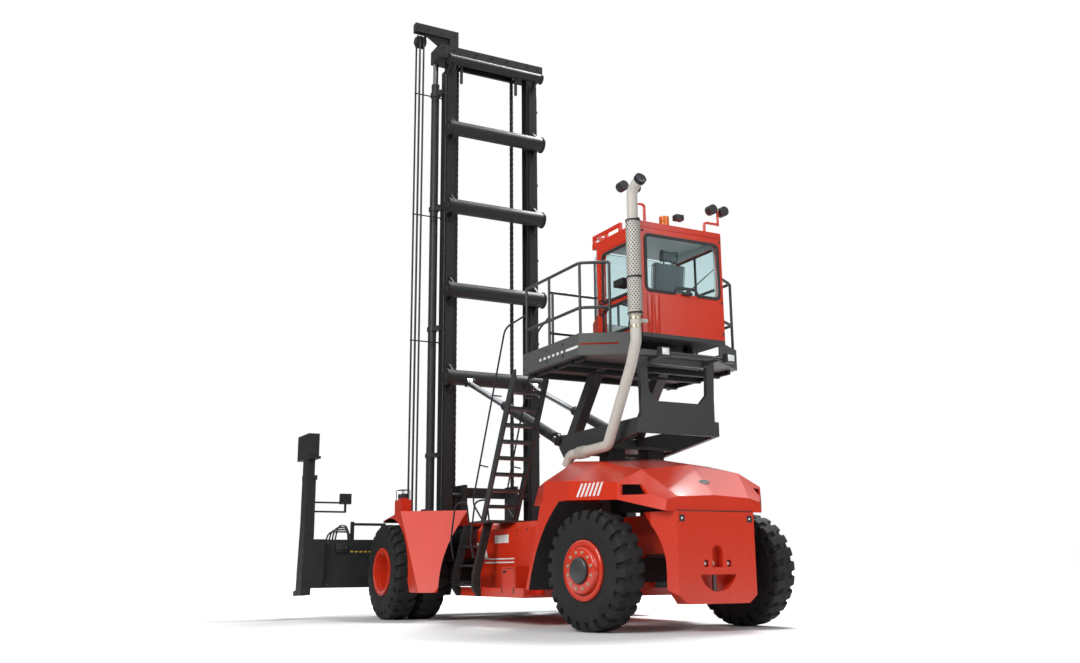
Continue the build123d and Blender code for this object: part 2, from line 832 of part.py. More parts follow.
def roof_panel():
    roof = block(cab_rear, cab_pillar + 110, -cab_half, cab_half, wall_top, cab_top)
    guard_top = cab_top + 110
    guard_rear = cab_pillar - 580
    for y in (-cab_half, cab_half - 40):
        for x in (guard_rear, cab_pillar - 240, cab_pillar + 60):
            roof += block(x, x + 40, y, y + 40, cab_top, guard_top)
        roof += block(guard_rear, cab_pillar + 100, y, y + 40, guard_top - 40, guard_top)
    roof += block(cab_pillar + 60, cab_pillar + 100, -cab_half, cab_half, guard_top - 40, guard_top)
    return roof


def pane(window, place):
    u0, u1, z0, z1 = window
    gap = seat_gap
    inner = (u0 + gap, u1 - gap, z0 + gap, z1 - gap)
    return extrude(window_cut(*inner, place), glass_thickness)


def nose_glass():
    top = wall_top - 30
    shift = 25
    side = flat_plate(
        [
            (cab_pillar + 2, cab_half - shift), (cab_nose - shift - 20, nose_half - shift),
            (cab_nose - shift - 20, nose_half - shift - glass_thickness),
            (cab_pillar + 2, cab_half - shift - glass_thickness),
        ],
        sill_line, top,
    )
    front = block(
        cab_nose - shift - glass_thickness, cab_nose - shift, -nose_half + shift + 6, nose_half - shift - 6,
        sill_line, top,
    )
    lid = flat_plate(
        [
            (cab_pillar + 112, -cab_half + 70), (cab_nose - shift, -nose_half + shift),
            (cab_nose - shift, nose_half - shift), (cab_pillar + 112, cab_half - 70),
        ],
        top + seat_gap, top + seat_gap + glass_thickness,
    )
    return [*both(side), front, lid]


def seat():
    cushion_low = wall_bottom + seat_height
    cushion_top = cushion_low + seat_thickness
    base = block(seat_rear + 60, seat_front - 80, -200, 200, wall_bottom, cushion_low)
    cushion = block(seat_rear, seat_front, -seat_half, seat_half, cushion_low, cushion_top)
    back = [
        (seat_rear, cushion_top), (seat_rear + 110, cushion_top), (seat_rear + 30, back_top),
        (seat_rear - 70, back_top),
    ]
    rest = [
        (seat_rear - 65, back_top), (seat_rear + 20, back_top), (seat_rear + 5, back_top + 160),
        (seat_rear - 65, back_top + 160),
    ]
    return base + cushion + side_plate(back, -240, 240) + side_plate(rest, -130, 130)


def console():
    foot_x = console_x + 80
    rim = Cylinder(steer_radius, 26) - Cylinder(steer_radius - 30, 26) + Box(2 * steer_radius - 40, 40, 26)
    column = bar((foot_x, 0, wall_bottom + 30), (console_x - 40, 0, steer_z - 30), 45)
    foot = block(console_x, console_x + 180, -140, 140, wall_bottom, wall_bottom + 60)
    wheel = Pos(console_x - 50, 0, steer_z) * Rot(0, -22, 0) * rim
    hub = bar((console_x - 37, 0, steer_z - 38), (console_x - 54, 0, steer_z + 10), 60)
    return column + foot + wheel + hub


seat_rear = -120
seat_front = 380
seat_half = 250
seat_height = 260
seat_thickness = 120
back_top = 4480
console_x = 740
steer_radius = 190
steer_z = 4110
rear_window = (-545, 545, 4000, 4700)
side_window = (-330, 540, 3960, 4700)
door_windows = ((door_rear + 70, door_front - 70, 4020, 4660), (door_rear + 70, door_front - 70, 3580, 3930))
hinge_x = door_rear - 20
hinge_y = cab_half + 20
save("cab_floor", floor_panel())
save("cab_rear_panel", rear_panel())
save("cab_right_panel", right_panel())
save("cab_left_frame", left_frame())
save("cab_nose_panel", nose_panel())
save("cab_roof", roof_panel())
save("cab_door", door_leaf())
door_panes = [pane(window, Plane.XZ.offset(-cab_half + 20)) for window in door_windows]
save("cab_door_glass", *door_panes)
fixed_panes = [
    pane(rear_window, Plane.YZ.offset(cab_rear + 20)), pane(side_window, Plane.XZ.offset(panel_edge + 20)),
]
save("cab_glass", *fixed_panes, *nose_glass())
save("driver_seat", seat())
save("steering_console", console())


# Lamps on the roof
def lamp_arm(x, y, reach, rise):
    elbow = cab_top + rise - 190
    top = cab_top + rise
    post = pipe([(x, y, cab_top), (x, y, elbow), (x, y + reach, elbow)], 18, 40)
    post += bar((x, y + reach, elbow - 18), (x, y + reach, top), 16)
    bodies = bar((x, y + reach - 150, top), (x, y + reach + 150, top), 12)
    for side in (-90, 90):
        bodies += bar((x - 45, y + reach + side, top), (x + 55, y + reach + side, top), 62)
    return post + bodies


def beacon():
    base = bar((-250, 120, cab_top), (-250, 120, cab_top + 40), 75)
    return base + bar((-250, 120, cab_top + 40), (-250, 120, cab_top + 170), 62)


save("roof_lamps", lamp_arm(-310, -460, -220, 360), lamp_arm(-330, 470, 220, 450))
save("beacon", beacon())


# Exhaust beside the cab
exhaust_y = 770
exhaust_radius = 66
exhaust_x = -520
shield_bottom = 3650
shield_top = 4820
bellows_count = 6
bellows_x = 860
bellows_z = 2138


def exhaust_pipe():
    route = [
        (1180, exhaust_y, 2010), (1080, exhaust_y, 2130), (170, exhaust_y, 2160), (-400, exhaust_y, 3060),
        (exhaust_x, exhaust_y, 3330), (exhaust_x, exhaust_y, 5210), (exhaust_x - 190, exhaust_y, 5290),
    ]
    stay = block(exhaust_x - 30, exhaust_x + 30, panel_edge + cab_wall, exhaust_y, 3560, 3600)
    line = pipe(route, exhaust_radius, 110) - hood_form(0) + stay
    for number in range(bellows_count):
        x = bellows_x - number * 34
        line += bar((x, exhaust_y, bellows_z), (x - 16, exhaust_y, bellows_z), exhaust_radius + 14)
    return line


def exhaust_shield():
    middle = Pos(exhaust_x, exhaust_y, (shield_bottom + shield_top) / 2)
    height = shield_top - shield_bottom
    sleeve = Cylinder(exhaust_radius + 22, height) - Cylinder(exhaust_radius + 18, height)
    for end in (-height / 2 + 15, height / 2 - 15):
        collar = Cylinder(exhaust_radius + 19, 30) - Cylinder(exhaust_radius + seat_gap, 30)
        sleeve += Pos(0, 0, end) * collar
    return middle * sleeve


save("exhaust_pipe", exhaust_pipe())
save("exhaust_shield", exhaust_shield())


# Mast
def channel_x(offset):
    return rail_rear + offset, rail_front - offset


def outer_rail():
    top = rail_height
    web = block(rail_rear, rail_front, rail_outer_y - rail_wall, rail_outer_y, rail_bottom, top)
    inner = rail_outer_y - rail_width
    rear = block(rail_rear, rail_rear + rail_wall, inner, rail_outer_y, rail_bottom, top)
    front = block(rail_front - rail_wall, rail_front, inner, rail_outer_y, rail_bottom, top)
    foot_inner = girder_outer + slide_gap
    lug = bar((pivot_x, foot_inner + 40, pivot_z), (pivot_x, rail_outer_y, pivot_z), pin_radius + 60)
    lug += block(pivot_x, rail_rear, foot_inner + 40, rail_outer_y, pivot_z - 105, pivot_z + 105)
    lug -= bar((pivot_x, 0, pivot_z), (pivot_x, 1000, pivot_z), pin_radius + seat_gap)
    return web + rear + front + lug


def cross_tube(z, radius):
    end = rail_outer_y + 40
    tube = bar((mast_tube_x, -end, z), (mast_tube_x, end, z), radius)
    collar = bar((mast_tube_x, end - 20, z), (mast_tube_x, end, z), radius + 18)
    gusset = [
        (rail_rear, z - 260), (mast_tube_x - radius / 2, z - radius * 0.8), (mast_tube_x, z),
        (mast_tube_x - radius / 2, z + radius * 0.8), (rail_rear, min(z + 260, rail_height)),
    ]
    gusset_y = rail_outer_y - rail_width / 2
    plate = side_plate(gusset, gusset_y - 20, gusset_y + 20)
    return tube + collar + mirrored(collar) + plate + mirrored(plate)


def tilt_lug():
    x, z = tilt_eye
    lug = bar((x, tilt_y - 90, z), (x, tilt_y - 50, z), 80)
    tube_z = tube_heights[0]
    web = [(x, z - 80), (x + 30, z + 60), (mast_tube_x, tube_z + 60), (mast_tube_x, tube_z - 100)]
    pin = bar((x, tilt_y - 60, z), (x, tilt_y + 45, z), pin_radius)
    return lug + side_plate(web, tilt_y - 90, tilt_y - 50) + pin


def lift_barrel():
    top = rail_height - 200
    foot = rail_bottom + 30
    height = top - foot
    barrel = Pos(lift_x, lift_y, foot + height / 2) * Cylinder(lift_radius, height)
    bore = Pos(lift_x, lift_y, foot + 40 + height / 2) * Cylinder(lift_rod_radius + slide_gap, height)
    gland = Cylinder(lift_radius, 80) - Cylinder(lift_rod_radius + seat_gap, 80)
    gland = Pos(lift_x, lift_y, top - 40) * gland
    barrel = barrel - bore + gland
    clamp_count = 5
    for number in range(clamp_count):
        z = foot + 60 + (height - 260) * number / (clamp_count - 1)
        clamp = Pos(lift_x, lift_y, z) * Cylinder(lift_radius + 18, 70)
        clamp -= block(rail_rear, lift_x, 0, rail_outer_y, z - 100, z + 100)
        clamp += block(rail_front - 120, lift_x, rail_outer_y, lift_y, z - 35, z + 35)
        barrel += clamp - Pos(lift_x, lift_y, z) * Cylinder(lift_radius - 5, 70)
    return barrel


def inner_rail():
    rear, front = channel_x(rail_wall + inner_gap)
    outer = rail_outer_y - rail_wall - inner_gap
    inner = outer - inner_width
    middle = (outer + inner) / 2
    web = block(rear, front, middle - inner_wall / 2, middle + inner_wall / 2, inner_bottom, inner_top)
    back = block(rear, rear + inner_wall, inner, outer, inner_bottom, inner_top)
    face = block(front - inner_wall, front, inner, outer, inner_bottom, inner_top)
    return web + back + face


def crosshead():
    rear, front = channel_x(rail_wall + inner_gap)
    beam = block(rear, lift_x + lift_radius, -lift_y - 70, lift_y + 70, inner_top, inner_top + 240)
    window = block(rear + 60, lift_x + 20, -chain_y - 60, chain_y + 60, inner_top, inner_top + 200)
    beam -= window
    arm = block(rail_mid_x - 60, rail_mid_x + 60, 640, hose_end, arm_low, arm_low + 160)
    foot = block(rail_mid_x - 60, rail_mid_x + 60, 640, 800, inner_top + 240, arm_low)
    brace = cross_plate(
        [(800, inner_top + 240), (lift_y + 70, inner_top + 240), (hose_lines[0], arm_low), (800, arm_low)],
        rail_mid_x - 12, rail_mid_x + 12,
    )
    drum_x = rail_mid_x + drum_radius + hose_radius
    drum = bar((drum_x, hose_lines[0] - 60, drum_z), (drum_x, hose_lines[1] + 60, drum_z), drum_radius)
    drum += block(
        rail_mid_x + 2 * hose_radius, drum_x + 40, hose_lines[0] - 60, hose_lines[0] - 30, drum_z, arm_low
    )
    return beam + arm + foot + brace + drum


def lift_rod():
    start = rail_bottom + 90
    return bar((lift_x, lift_y, start), (lift_x, lift_y, inner_top), lift_rod_radius)


def chain():
    """Chain run, bent link by link over the sheave."""
    half = chain_width / 2
    thick = chain_depth / 2
    x = chain_x - sheave_radius
    ring = RegularPolygon(sheave_radius + thick, bend_links, False, 180 / bend_links)
    ring -= RegularPolygon(sheave_radius - thick, bend_links, False, 180 / bend_links)
    band = extrude(Plane.XZ.offset(-chain_y - half) * Pos(x, sheave_z) * ring, chain_width)
    reach = 2 * sheave_radius
    band -= block(x - reach, x + reach, chain_y - reach, chain_y + reach, sheave_z - reach, sheave_z)
    run = block(chain_x - thick, chain_x + thick, chain_y - half, chain_y + half, chain_foot, sheave_z)
    back_x = x - sheave_radius
    tail = sheave_z - chain_tail
    rear = block(back_x - thick, back_x + thick, chain_y - half, chain_y + half, tail, sheave_z)
    return run + band + rear


def chain_sheave():
    x = chain_x - sheave_radius
    rim = sheave_radius - chain_depth / 2 - seat_gap
    wheel = bar((x, chain_y - 26, sheave_z), (x, chain_y + 26, sheave_z), rim)
    axle = bar((x, chain_y - 60, sheave_z), (x, chain_y + 60, sheave_z), 30)
    return wheel + axle


def hoses():
    front = rail_mid_x + 2 * (drum_radius + hose_radius)
    bend = drum_radius + hose_radius
    lines = []
    for y in hose_lines:
        route = [
            (rail_mid_x, y, hose_foot), (rail_mid_x, y, drum_z + bend), (front, y, drum_z + bend),
            (front, y, hose_foot),
        ]
        lines.append(pipe(route, hose_radius, bend - 1))
    return lines


inner_bottom = rail_bottom + 40
inner_top = rail_height + 200
hose_end = 1450
hose_lines = (1275, 1345)
hose_radius = 16
hose_foot = 1620
arm_low = inner_top + 400
drum_radius = 70
drum_z = arm_low - 120
sheave_radius = 90
chain_width = 40
chain_depth = 44
chain_foot = 760
chain_tail = 420
bend_links = 12
sheave_z = inner_top + 60
save("outer_rails", *both(outer_rail()))
tubes = [cross_tube(z, tube_radius) for z in tube_heights]
tubes[0] += tilt_lug() + mirrored(tilt_lug())
save("mast_cross_tubes", *tubes, cross_tube(top_tube_height, top_tube_radius))
save("lift_barrels", *both(lift_barrel()))
save("inner_rails", *both(inner_rail()))
save("mast_crosshead", crosshead())
save("chain_sheaves", *both(chain_sheave()))
save("lift_rods", *both(lift_rod()))
save("lift_chains", *both(chain()))
save("mast_hoses", *hoses())


# Tilt cylinders
def tilt_frame():
    start = Vector(tilt_foot[0], tilt_y, tilt_foot[1])
    run = Vector(tilt_eye[0], tilt_y, tilt_eye[1]) - start
    return start, run.normalized(), run.length


def tilt_barrel():
    start, way, length = tilt_frame()
    reach = 0.55 * length
    eye_y = tilt_y + 45
    tube = bar(start + way * 100, start + way * reach, tilt_barrel_radius)
    tube -= bar(start + way * 200, start + way * (reach - 60), tilt_rod_radius + slide_gap)
    tube -= bar(start + way * 200, start + way * (reach + 10), tilt_rod_radius + seat_gap)
    eye = bar((start.X, tilt_y + slide_gap, start.Z), (start.X, eye_y, start.Z), 80)
    eye += bar(start + way * 40, start + way * 130, 60)
    eye -= bar((start.X, 0, start.Z), (start.X, 1000, start.Z), pin_radius + seat_gap)
    eye -= block(start.X - 120, start.X + 90, 0, tilt_y + slide_gap, start.Z - 120, start.Z + 100)
    return tube + eye


def tilt_rod():
    start, way, length = tilt_frame()
    end = start + way * length
    rod = bar(start + way * 0.15 * length, start + way * (length - 60), tilt_rod_radius)
    eye = bar((end.X, tilt_y - 45, end.Z), (end.X, tilt_y + 40, end.Z), 75)
    eye -= bar((end.X, 0, end.Z), (end.X, 1000, end.Z), pin_radius + slide_gap)
    return rod + eye


save("tilt_barrels", *both(tilt_barrel()))
save("tilt_rods", *both(tilt_rod()))


# Carriage and spreader
def carriage():
    rail_edge = rail_outer_y - rail_wall - inner_gap - inner_width
    roller_inner = rail_edge + slide_gap
    roller_outer = rail_edge + (inner_width - inner_wall) / 2 - slide_gap
    side = block(rail_rear + 40, plate_front, plate_inner, plate_outer, carriage_bottom, carriage_top)
    for z in roller_heights:
        side += bar((rail_mid_x, roller_inner, z), (rail_mid_x, roller_outer, z), roller_radius)
        side += bar((rail_mid_x, plate_outer - 10, z), (rail_mid_x, roller_inner + 1, z), roller_pin)
    frame = side + mirrored(side)
    for low, high in cross_bars:
        frame += block(plate_front - bar_depth, plate_front, -plate_outer, plate_outer, low, high)
    for low, high in beam_seats:
        frame += block(plate_front - 1, beam_rear - seat_gap, -seat_reach, seat_reach, low, high)
    return frame


def tunnel(level):
    low = beam_bottom + beam_wall + level * (beam_height - beam_wall) / 2
    return low, low + (beam_height - beam_wall) / 2 - beam_wall


def spreader_beam():
    front = beam_rear + beam_depth
    beam = block(beam_rear, front, -beam_half, beam_half, beam_bottom, beam_top)
    for level in (0, 1):
        low, high = tunnel(level)
        beam -= block(beam_rear + beam_wall, front - beam_wall, -beam_half, beam_half, low, high)
    hanger_low = beam_seats[-1][1] + seat_gap
    for y in (-hanger_y, hanger_y):
        beam += block(beam_rear - 50, beam_rear + 60, y - 90, y + 90, hanger_low, beam_top + 40)
    x = beam_rear + beam_depth / 3
    rail_z = beam_top + guide_height - 60
    post = block(x - 25, x + 25, guide_y - 25, guide_y + 25, beam_top, beam_top + guide_height)
    rail = block(x - 20, x + 20, guide_y - guide_run, guide_y, rail_z, rail_z + 40)
    foot_y = guide_y - guide_run + 50
    foot = block(x - 20, x + 20, foot_y - 20, foot_y + 20, beam_top, rail_z + 10)
    guide = post + rail + foot
    return beam + guide + mirrored(guide)


def spreader_arm(side, level):
    low, high = tunnel(level)
    outer = post_outer - post_width
    rear = beam_rear + beam_wall + slide_gap
    front = beam_rear + beam_depth - beam_wall - slide_gap
    arm = block(rear, front, -arm_inner, outer, low + seat_gap, high - slide_gap)
    arm -= block(rear + 16, front - 16, -arm_inner, outer - 40, low + 16, high - slide_gap - 16)
    flange = side_plate(
        [
            (post_rear + 80, beam_bottom), (front, beam_bottom), (front, beam_top),
            (post_rear + 10, beam_top),
        ],
        outer - flange_length, outer,
    )
    post_front = post_rear + post_depth
    post = side_plate(
        [
            (post_rear + 90, post_foot + 20), (head_front - 60, post_foot), (head_front - 60, toe_top),
            (post_front + 140, toe_top + 20), (post_front + 20, post_knee + 150), (post_front, post_top),
            (post_rear, post_top), (post_rear, post_knee),
        ],
        outer, post_outer,
    )
    collar = block(post_rear - 15, post_front + 15, outer - 15, post_outer, post_top - 70, post_top)
    neck = block(post_rear + 30, post_front + 40, outer + 15, post_outer - 15, post_top, head_bottom)
    head = block(post_rear - 50, head_front, outer - 20, post_outer, head_bottom, head_top)
    brim = block(post_rear - 80, head_front, outer - 40, post_outer, head_bottom, head_bottom + 40)
    hook = bar((head_front, hook_y, hook_z), (head_front + hook_length, hook_y, hook_z), hook_radius)
    lamp_x = post_rear + 70
    lamp = block(lamp_x - 60, lamp_x + 60, lamp_y - 80, lamp_y + 80, lamp_z, lamp_z + 160)
    lamp += block(lamp_x - 15, lamp_x + 15, lamp_y - 15, lamp_y + 15, lamp_z - 130, lamp_z + 10)
    for z in (lamp_z - 120, lamp_z + 20):
        lamp += bar((lamp_x, lamp_y, z), (lamp_x, outer + 5, z), 14)
    whole = arm + flange + post + collar + neck + head + brim + hook + lamp
    return whole if side > 0 else mirrored(whole)


plate_front = beam_rear - 60
plate_inner = 430
plate_outer = 490
carriage_bottom = 450
carriage_top = 2050
roller_heights = (620, 1880)
roller_radius = 74
roller_pin = 40
bar_depth = 70
cross_bars = ((470, 660), (1190, 1330), (1860, 2030))  # bottom, top
beam_seats = ((480, 600), (1040, 1170))  # bottom, top
seat_reach = 700
beam_top = beam_bottom + beam_height
hanger_y = 240
guide_y = 2170
guide_height = 280
guide_run = 550
post_foot = 330
toe_top = 400
post_knee = 1250
hook_z = 2560
lamp_y = 2350
lamp_z = 1720
save("carriage", carriage())
save("spreader_beam", spreader_beam())
save("spreader_arm_left", spreader_arm(1, 0))
save("spreader_arm_right", spreader_arm(-1, 1))
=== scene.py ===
import json
import math

import bmesh
import bpy
from mathutils import Matrix, Vector
from mathutils.bvhtree import BVHTree


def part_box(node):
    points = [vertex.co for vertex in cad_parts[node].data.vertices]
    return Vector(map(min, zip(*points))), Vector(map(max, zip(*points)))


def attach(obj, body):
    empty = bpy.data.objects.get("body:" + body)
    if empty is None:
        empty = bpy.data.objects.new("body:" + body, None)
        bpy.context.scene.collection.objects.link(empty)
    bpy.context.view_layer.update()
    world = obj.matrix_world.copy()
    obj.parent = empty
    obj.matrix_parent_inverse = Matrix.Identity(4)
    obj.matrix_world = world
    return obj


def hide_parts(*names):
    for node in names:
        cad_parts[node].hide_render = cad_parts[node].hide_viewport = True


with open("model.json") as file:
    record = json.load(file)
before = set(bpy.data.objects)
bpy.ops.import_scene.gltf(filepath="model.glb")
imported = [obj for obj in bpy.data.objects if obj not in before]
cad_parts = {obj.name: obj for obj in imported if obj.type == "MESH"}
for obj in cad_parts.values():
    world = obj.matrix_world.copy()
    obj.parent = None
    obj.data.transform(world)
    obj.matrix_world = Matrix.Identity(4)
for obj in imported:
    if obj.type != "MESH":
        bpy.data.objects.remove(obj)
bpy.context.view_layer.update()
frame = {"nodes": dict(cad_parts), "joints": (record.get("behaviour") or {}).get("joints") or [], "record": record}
nodes = frame["nodes"]
joints = {joint["name"]: joint for joint in frame["joints"]}


# Shader groups
def newGroup(name, inputs, outputs):
    group = bpy.data.node_groups.new(name, "ShaderNodeTree")
    for label, kind, value in inputs:
        socket = group.interface.new_socket(name=label, in_out="INPUT", socket_type=kind)
        socket.default_value = value
    for label, kind in outputs:
        group.interface.new_socket(name=label, in_out="OUTPUT", socket_type=kind)
    return group, group.nodes.new("NodeGroupInput"), group.nodes.new("NodeGroupOutput")


def addNode(tree, kind, values=None, **settings):
    node = tree.nodes.new(kind)
    for name, value in settings.items():
        setattr(node, name, value)
    for name, value in (values or {}).items():
        node.inputs[name].default_value = value
    return node


def makeEdgeWear():
    group, given, result = newGroup(
        "edgeWear",
        [("Radius", "NodeSocketFloat", 0.012), ("Amount", "NodeSocketFloat", 0.5)],
        [("Mask", "NodeSocketFloat")],
    )
    link = group.links.new
    bevel = addNode(group, "ShaderNodeBevel", samples=4)
    geometry = addNode(group, "ShaderNodeNewGeometry")
    dot = addNode(group, "ShaderNodeVectorMath", operation="DOT_PRODUCT")
    edge = addNode(group, "ShaderNodeMapRange", {"From Min": 0.995, "From Max": 0.80})
    place = addNode(group, "ShaderNodeTexCoord")
    noise = addNode(group, "ShaderNodeTexNoise", {"Scale": 9.0, "Detail": 6.0, "Roughness": 0.7})
    patches = addNode(group, "ShaderNodeMapRange", {"From Min": 0.46, "From Max": 0.62})
    worn = addNode(group, "ShaderNodeMath", operation="MULTIPLY")
    scaled = addNode(group, "ShaderNodeMath", operation="MULTIPLY")
    link(given.outputs["Radius"], bevel.inputs["Radius"])
    link(bevel.outputs["Normal"], dot.inputs[0])
    link(geometry.outputs["Normal"], dot.inputs[1])
    link(dot.outputs["Value"], edge.inputs["Value"])
    link(place.outputs["Object"], noise.inputs["Vector"])
    link(noise.outputs["Fac"], patches.inputs["Value"])
    link(edge.outputs["Result"], worn.inputs[0])
    link(patches.outputs["Result"], worn.inputs[1])
    link(worn.outputs["Value"], scaled.inputs[0])
    link(given.outputs["Amount"], scaled.inputs[1])
    link(scaled.outputs["Value"], result.inputs["Mask"])
    return group


def makeRoadDust():
    group, given, result = newGroup(
        "roadDust",
        [("Height", "NodeSocketFloat", 1.2), ("Amount", "NodeSocketFloat", 0.4)],
        [("Mask", "NodeSocketFloat")],
    )
    link = group.links.new
    place = addNode(group, "ShaderNodeTexCoord")
    split = addNode(group, "ShaderNodeSeparateXYZ")
    low = addNode(group, "ShaderNodeMath", operation="DIVIDE")
    fade = addNode(group, "ShaderNodeMapRange", {"From Min": 1.0, "From Max": 0.0})
    geometry = addNode(group, "ShaderNodeNewGeometry")
    facing = addNode(group, "ShaderNodeSeparateXYZ")
    flat = addNode(group, "ShaderNodeMapRange", {"From Min": 0.55, "From Max": 1.0, "To Max": 0.55})
    cover = addNode(group, "ShaderNodeMath", operation="MAXIMUM")
    noise = addNode(group, "ShaderNodeTexNoise", {"Scale": 3.2, "Detail": 8.0, "Roughness": 0.66})
    clouds = addNode(group, "ShaderNodeMapRange", {"From Min": 0.38, "From Max": 0.72})
    both = addNode(group, "ShaderNodeMath", operation="MULTIPLY")
    scaled = addNode(group, "ShaderNodeMath", operation="MULTIPLY", use_clamp=True)
    link(place.outputs["Object"], split.inputs[0])
    link(split.outputs["Z"], low.inputs[0])
    link(given.outputs["Height"], low.inputs[1])
    link(low.outputs["Value"], fade.inputs["Value"])
    link(geometry.outputs["Normal"], facing.inputs[0])
    link(facing.outputs["Z"], flat.inputs["Value"])
    link(fade.outputs["Result"], cover.inputs[0])
    link(flat.outputs["Result"], cover.inputs[1])
    link(place.outputs["Object"], noise.inputs["Vector"])
    link(noise.outputs["Fac"], clouds.inputs["Value"])
    link(cover.outputs["Value"], both.inputs[0])
    link(clouds.outputs["Result"], both.inputs[1])
    link(both.outputs["Value"], scaled.inputs[0])
    link(given.outputs["Amount"], scaled.inputs[1])
    link(scaled.outputs["Value"], result.inputs["Mask"])
    return group


def makeGrain():
    group, given, result = newGroup(
        "surfaceGrain",
        [
            ("Scale", "NodeSocketFloat", 60.0),
            ("Strength", "NodeSocketFloat", 0.1),
            ("Distance", "NodeSocketFloat", 0.002),
        ],
        [("Value", "NodeSocketFloat"), ("Blotch", "NodeSocketFloat"), ("Normal", "NodeSocketVector")],
    )
    link = group.links.new
    place = addNode(group, "ShaderNodeTexCoord")
    fine = addNode(group, "ShaderNodeTexNoise", {"Detail": 5.0, "Roughness": 0.6})
    wide = addNode(group, "ShaderNodeTexNoise", {"Scale": 1.4, "Detail": 4.0})
    bump = addNode(group, "ShaderNodeBump")
    link(place.outputs["Object"], fine.inputs["Vector"])
    link(place.outputs["Object"], wide.inputs["Vector"])
    link(given.outputs["Scale"], fine.inputs["Scale"])
    link(given.outputs["Strength"], bump.inputs["Strength"])
    link(given.outputs["Distance"], bump.inputs["Distance"])
    link(fine.outputs["Fac"], bump.inputs["Height"])
    link(fine.outputs["Fac"], result.inputs["Value"])
    link(wide.outputs["Fac"], result.inputs["Blotch"])
    link(bump.outputs["Normal"], result.inputs["Normal"])
    return group


edgeWear = makeEdgeWear()
roadDust = makeRoadDust()
surfaceGrain = makeGrain()


# Materials
def addGroup(tree, group, values):
    node = tree.nodes.new("ShaderNodeGroup")
    node.node_tree = group
    for name, value in values.items():
        node.inputs[name].default_value = value
    return node


def mixColours(tree, mask, under, over):
    mix = tree.nodes.new("ShaderNodeMix")
    mix.data_type = "RGBA"
    tree.links.new(mask, mix.inputs["Factor"])
    for socket, value in ((mix.inputs["A"], under), (mix.inputs["B"], over)):
        if isinstance(value, tuple):
            socket.default_value = (*value, 1.0)
        else:
            tree.links.new(value, socket)
    return mix.outputs["Result"]


def newMaterial(name):
    material = bpy.data.materials.new(name)
    material.use_nodes = True
    return material, material.node_tree, material.node_tree.nodes["Principled BSDF"]


grainSpread = {"From Min": 0.3, "From Max": 0.7}
coatRough = 0.16


def setRoughness(tree, shader, value, low, high):
    spread = addNode(tree, "ShaderNodeMapRange", {**grainSpread, "To Min": low, "To Max": high})
    tree.links.new(value, spread.inputs["Value"])
    tree.links.new(spread.outputs["Result"], shader.inputs["Roughness"])


def coatedMaterial(name, look):
    material, tree, shader = newMaterial(name)
    grain = addGroup(tree, surfaceGrain, {"Scale": look["grain"], "Strength": look["bump"]})
    dust = addGroup(tree, roadDust, {"Height": look["dustHeight"], "Amount": look["dust"]})
    wear = addGroup(tree, edgeWear, {"Radius": look["edge"], "Amount": look["wear"]})
    colour = mixColours(tree, grain.outputs["Blotch"], look["colour"], look["shade"])
    colour = mixColours(tree, wear.outputs["Mask"], colour, look["worn"])
    colour = mixColours(tree, dust.outputs["Mask"], colour, look["dustColour"])
    tree.links.new(colour, shader.inputs["Base Color"])
    tree.links.new(grain.outputs["Normal"], shader.inputs["Normal"])
    setRoughness(tree, shader, grain.outputs["Value"], *look["rough"])
    shader.inputs["Metallic"].default_value = look.get("metallic", 0.0)
    shader.inputs["Coat Weight"].default_value = look.get("coat", 0.0)
    shader.inputs["Coat Roughness"].default_value = coatRough
    shader.inputs["Specular IOR Level"].default_value = look.get("specular", 0.5)
    return material


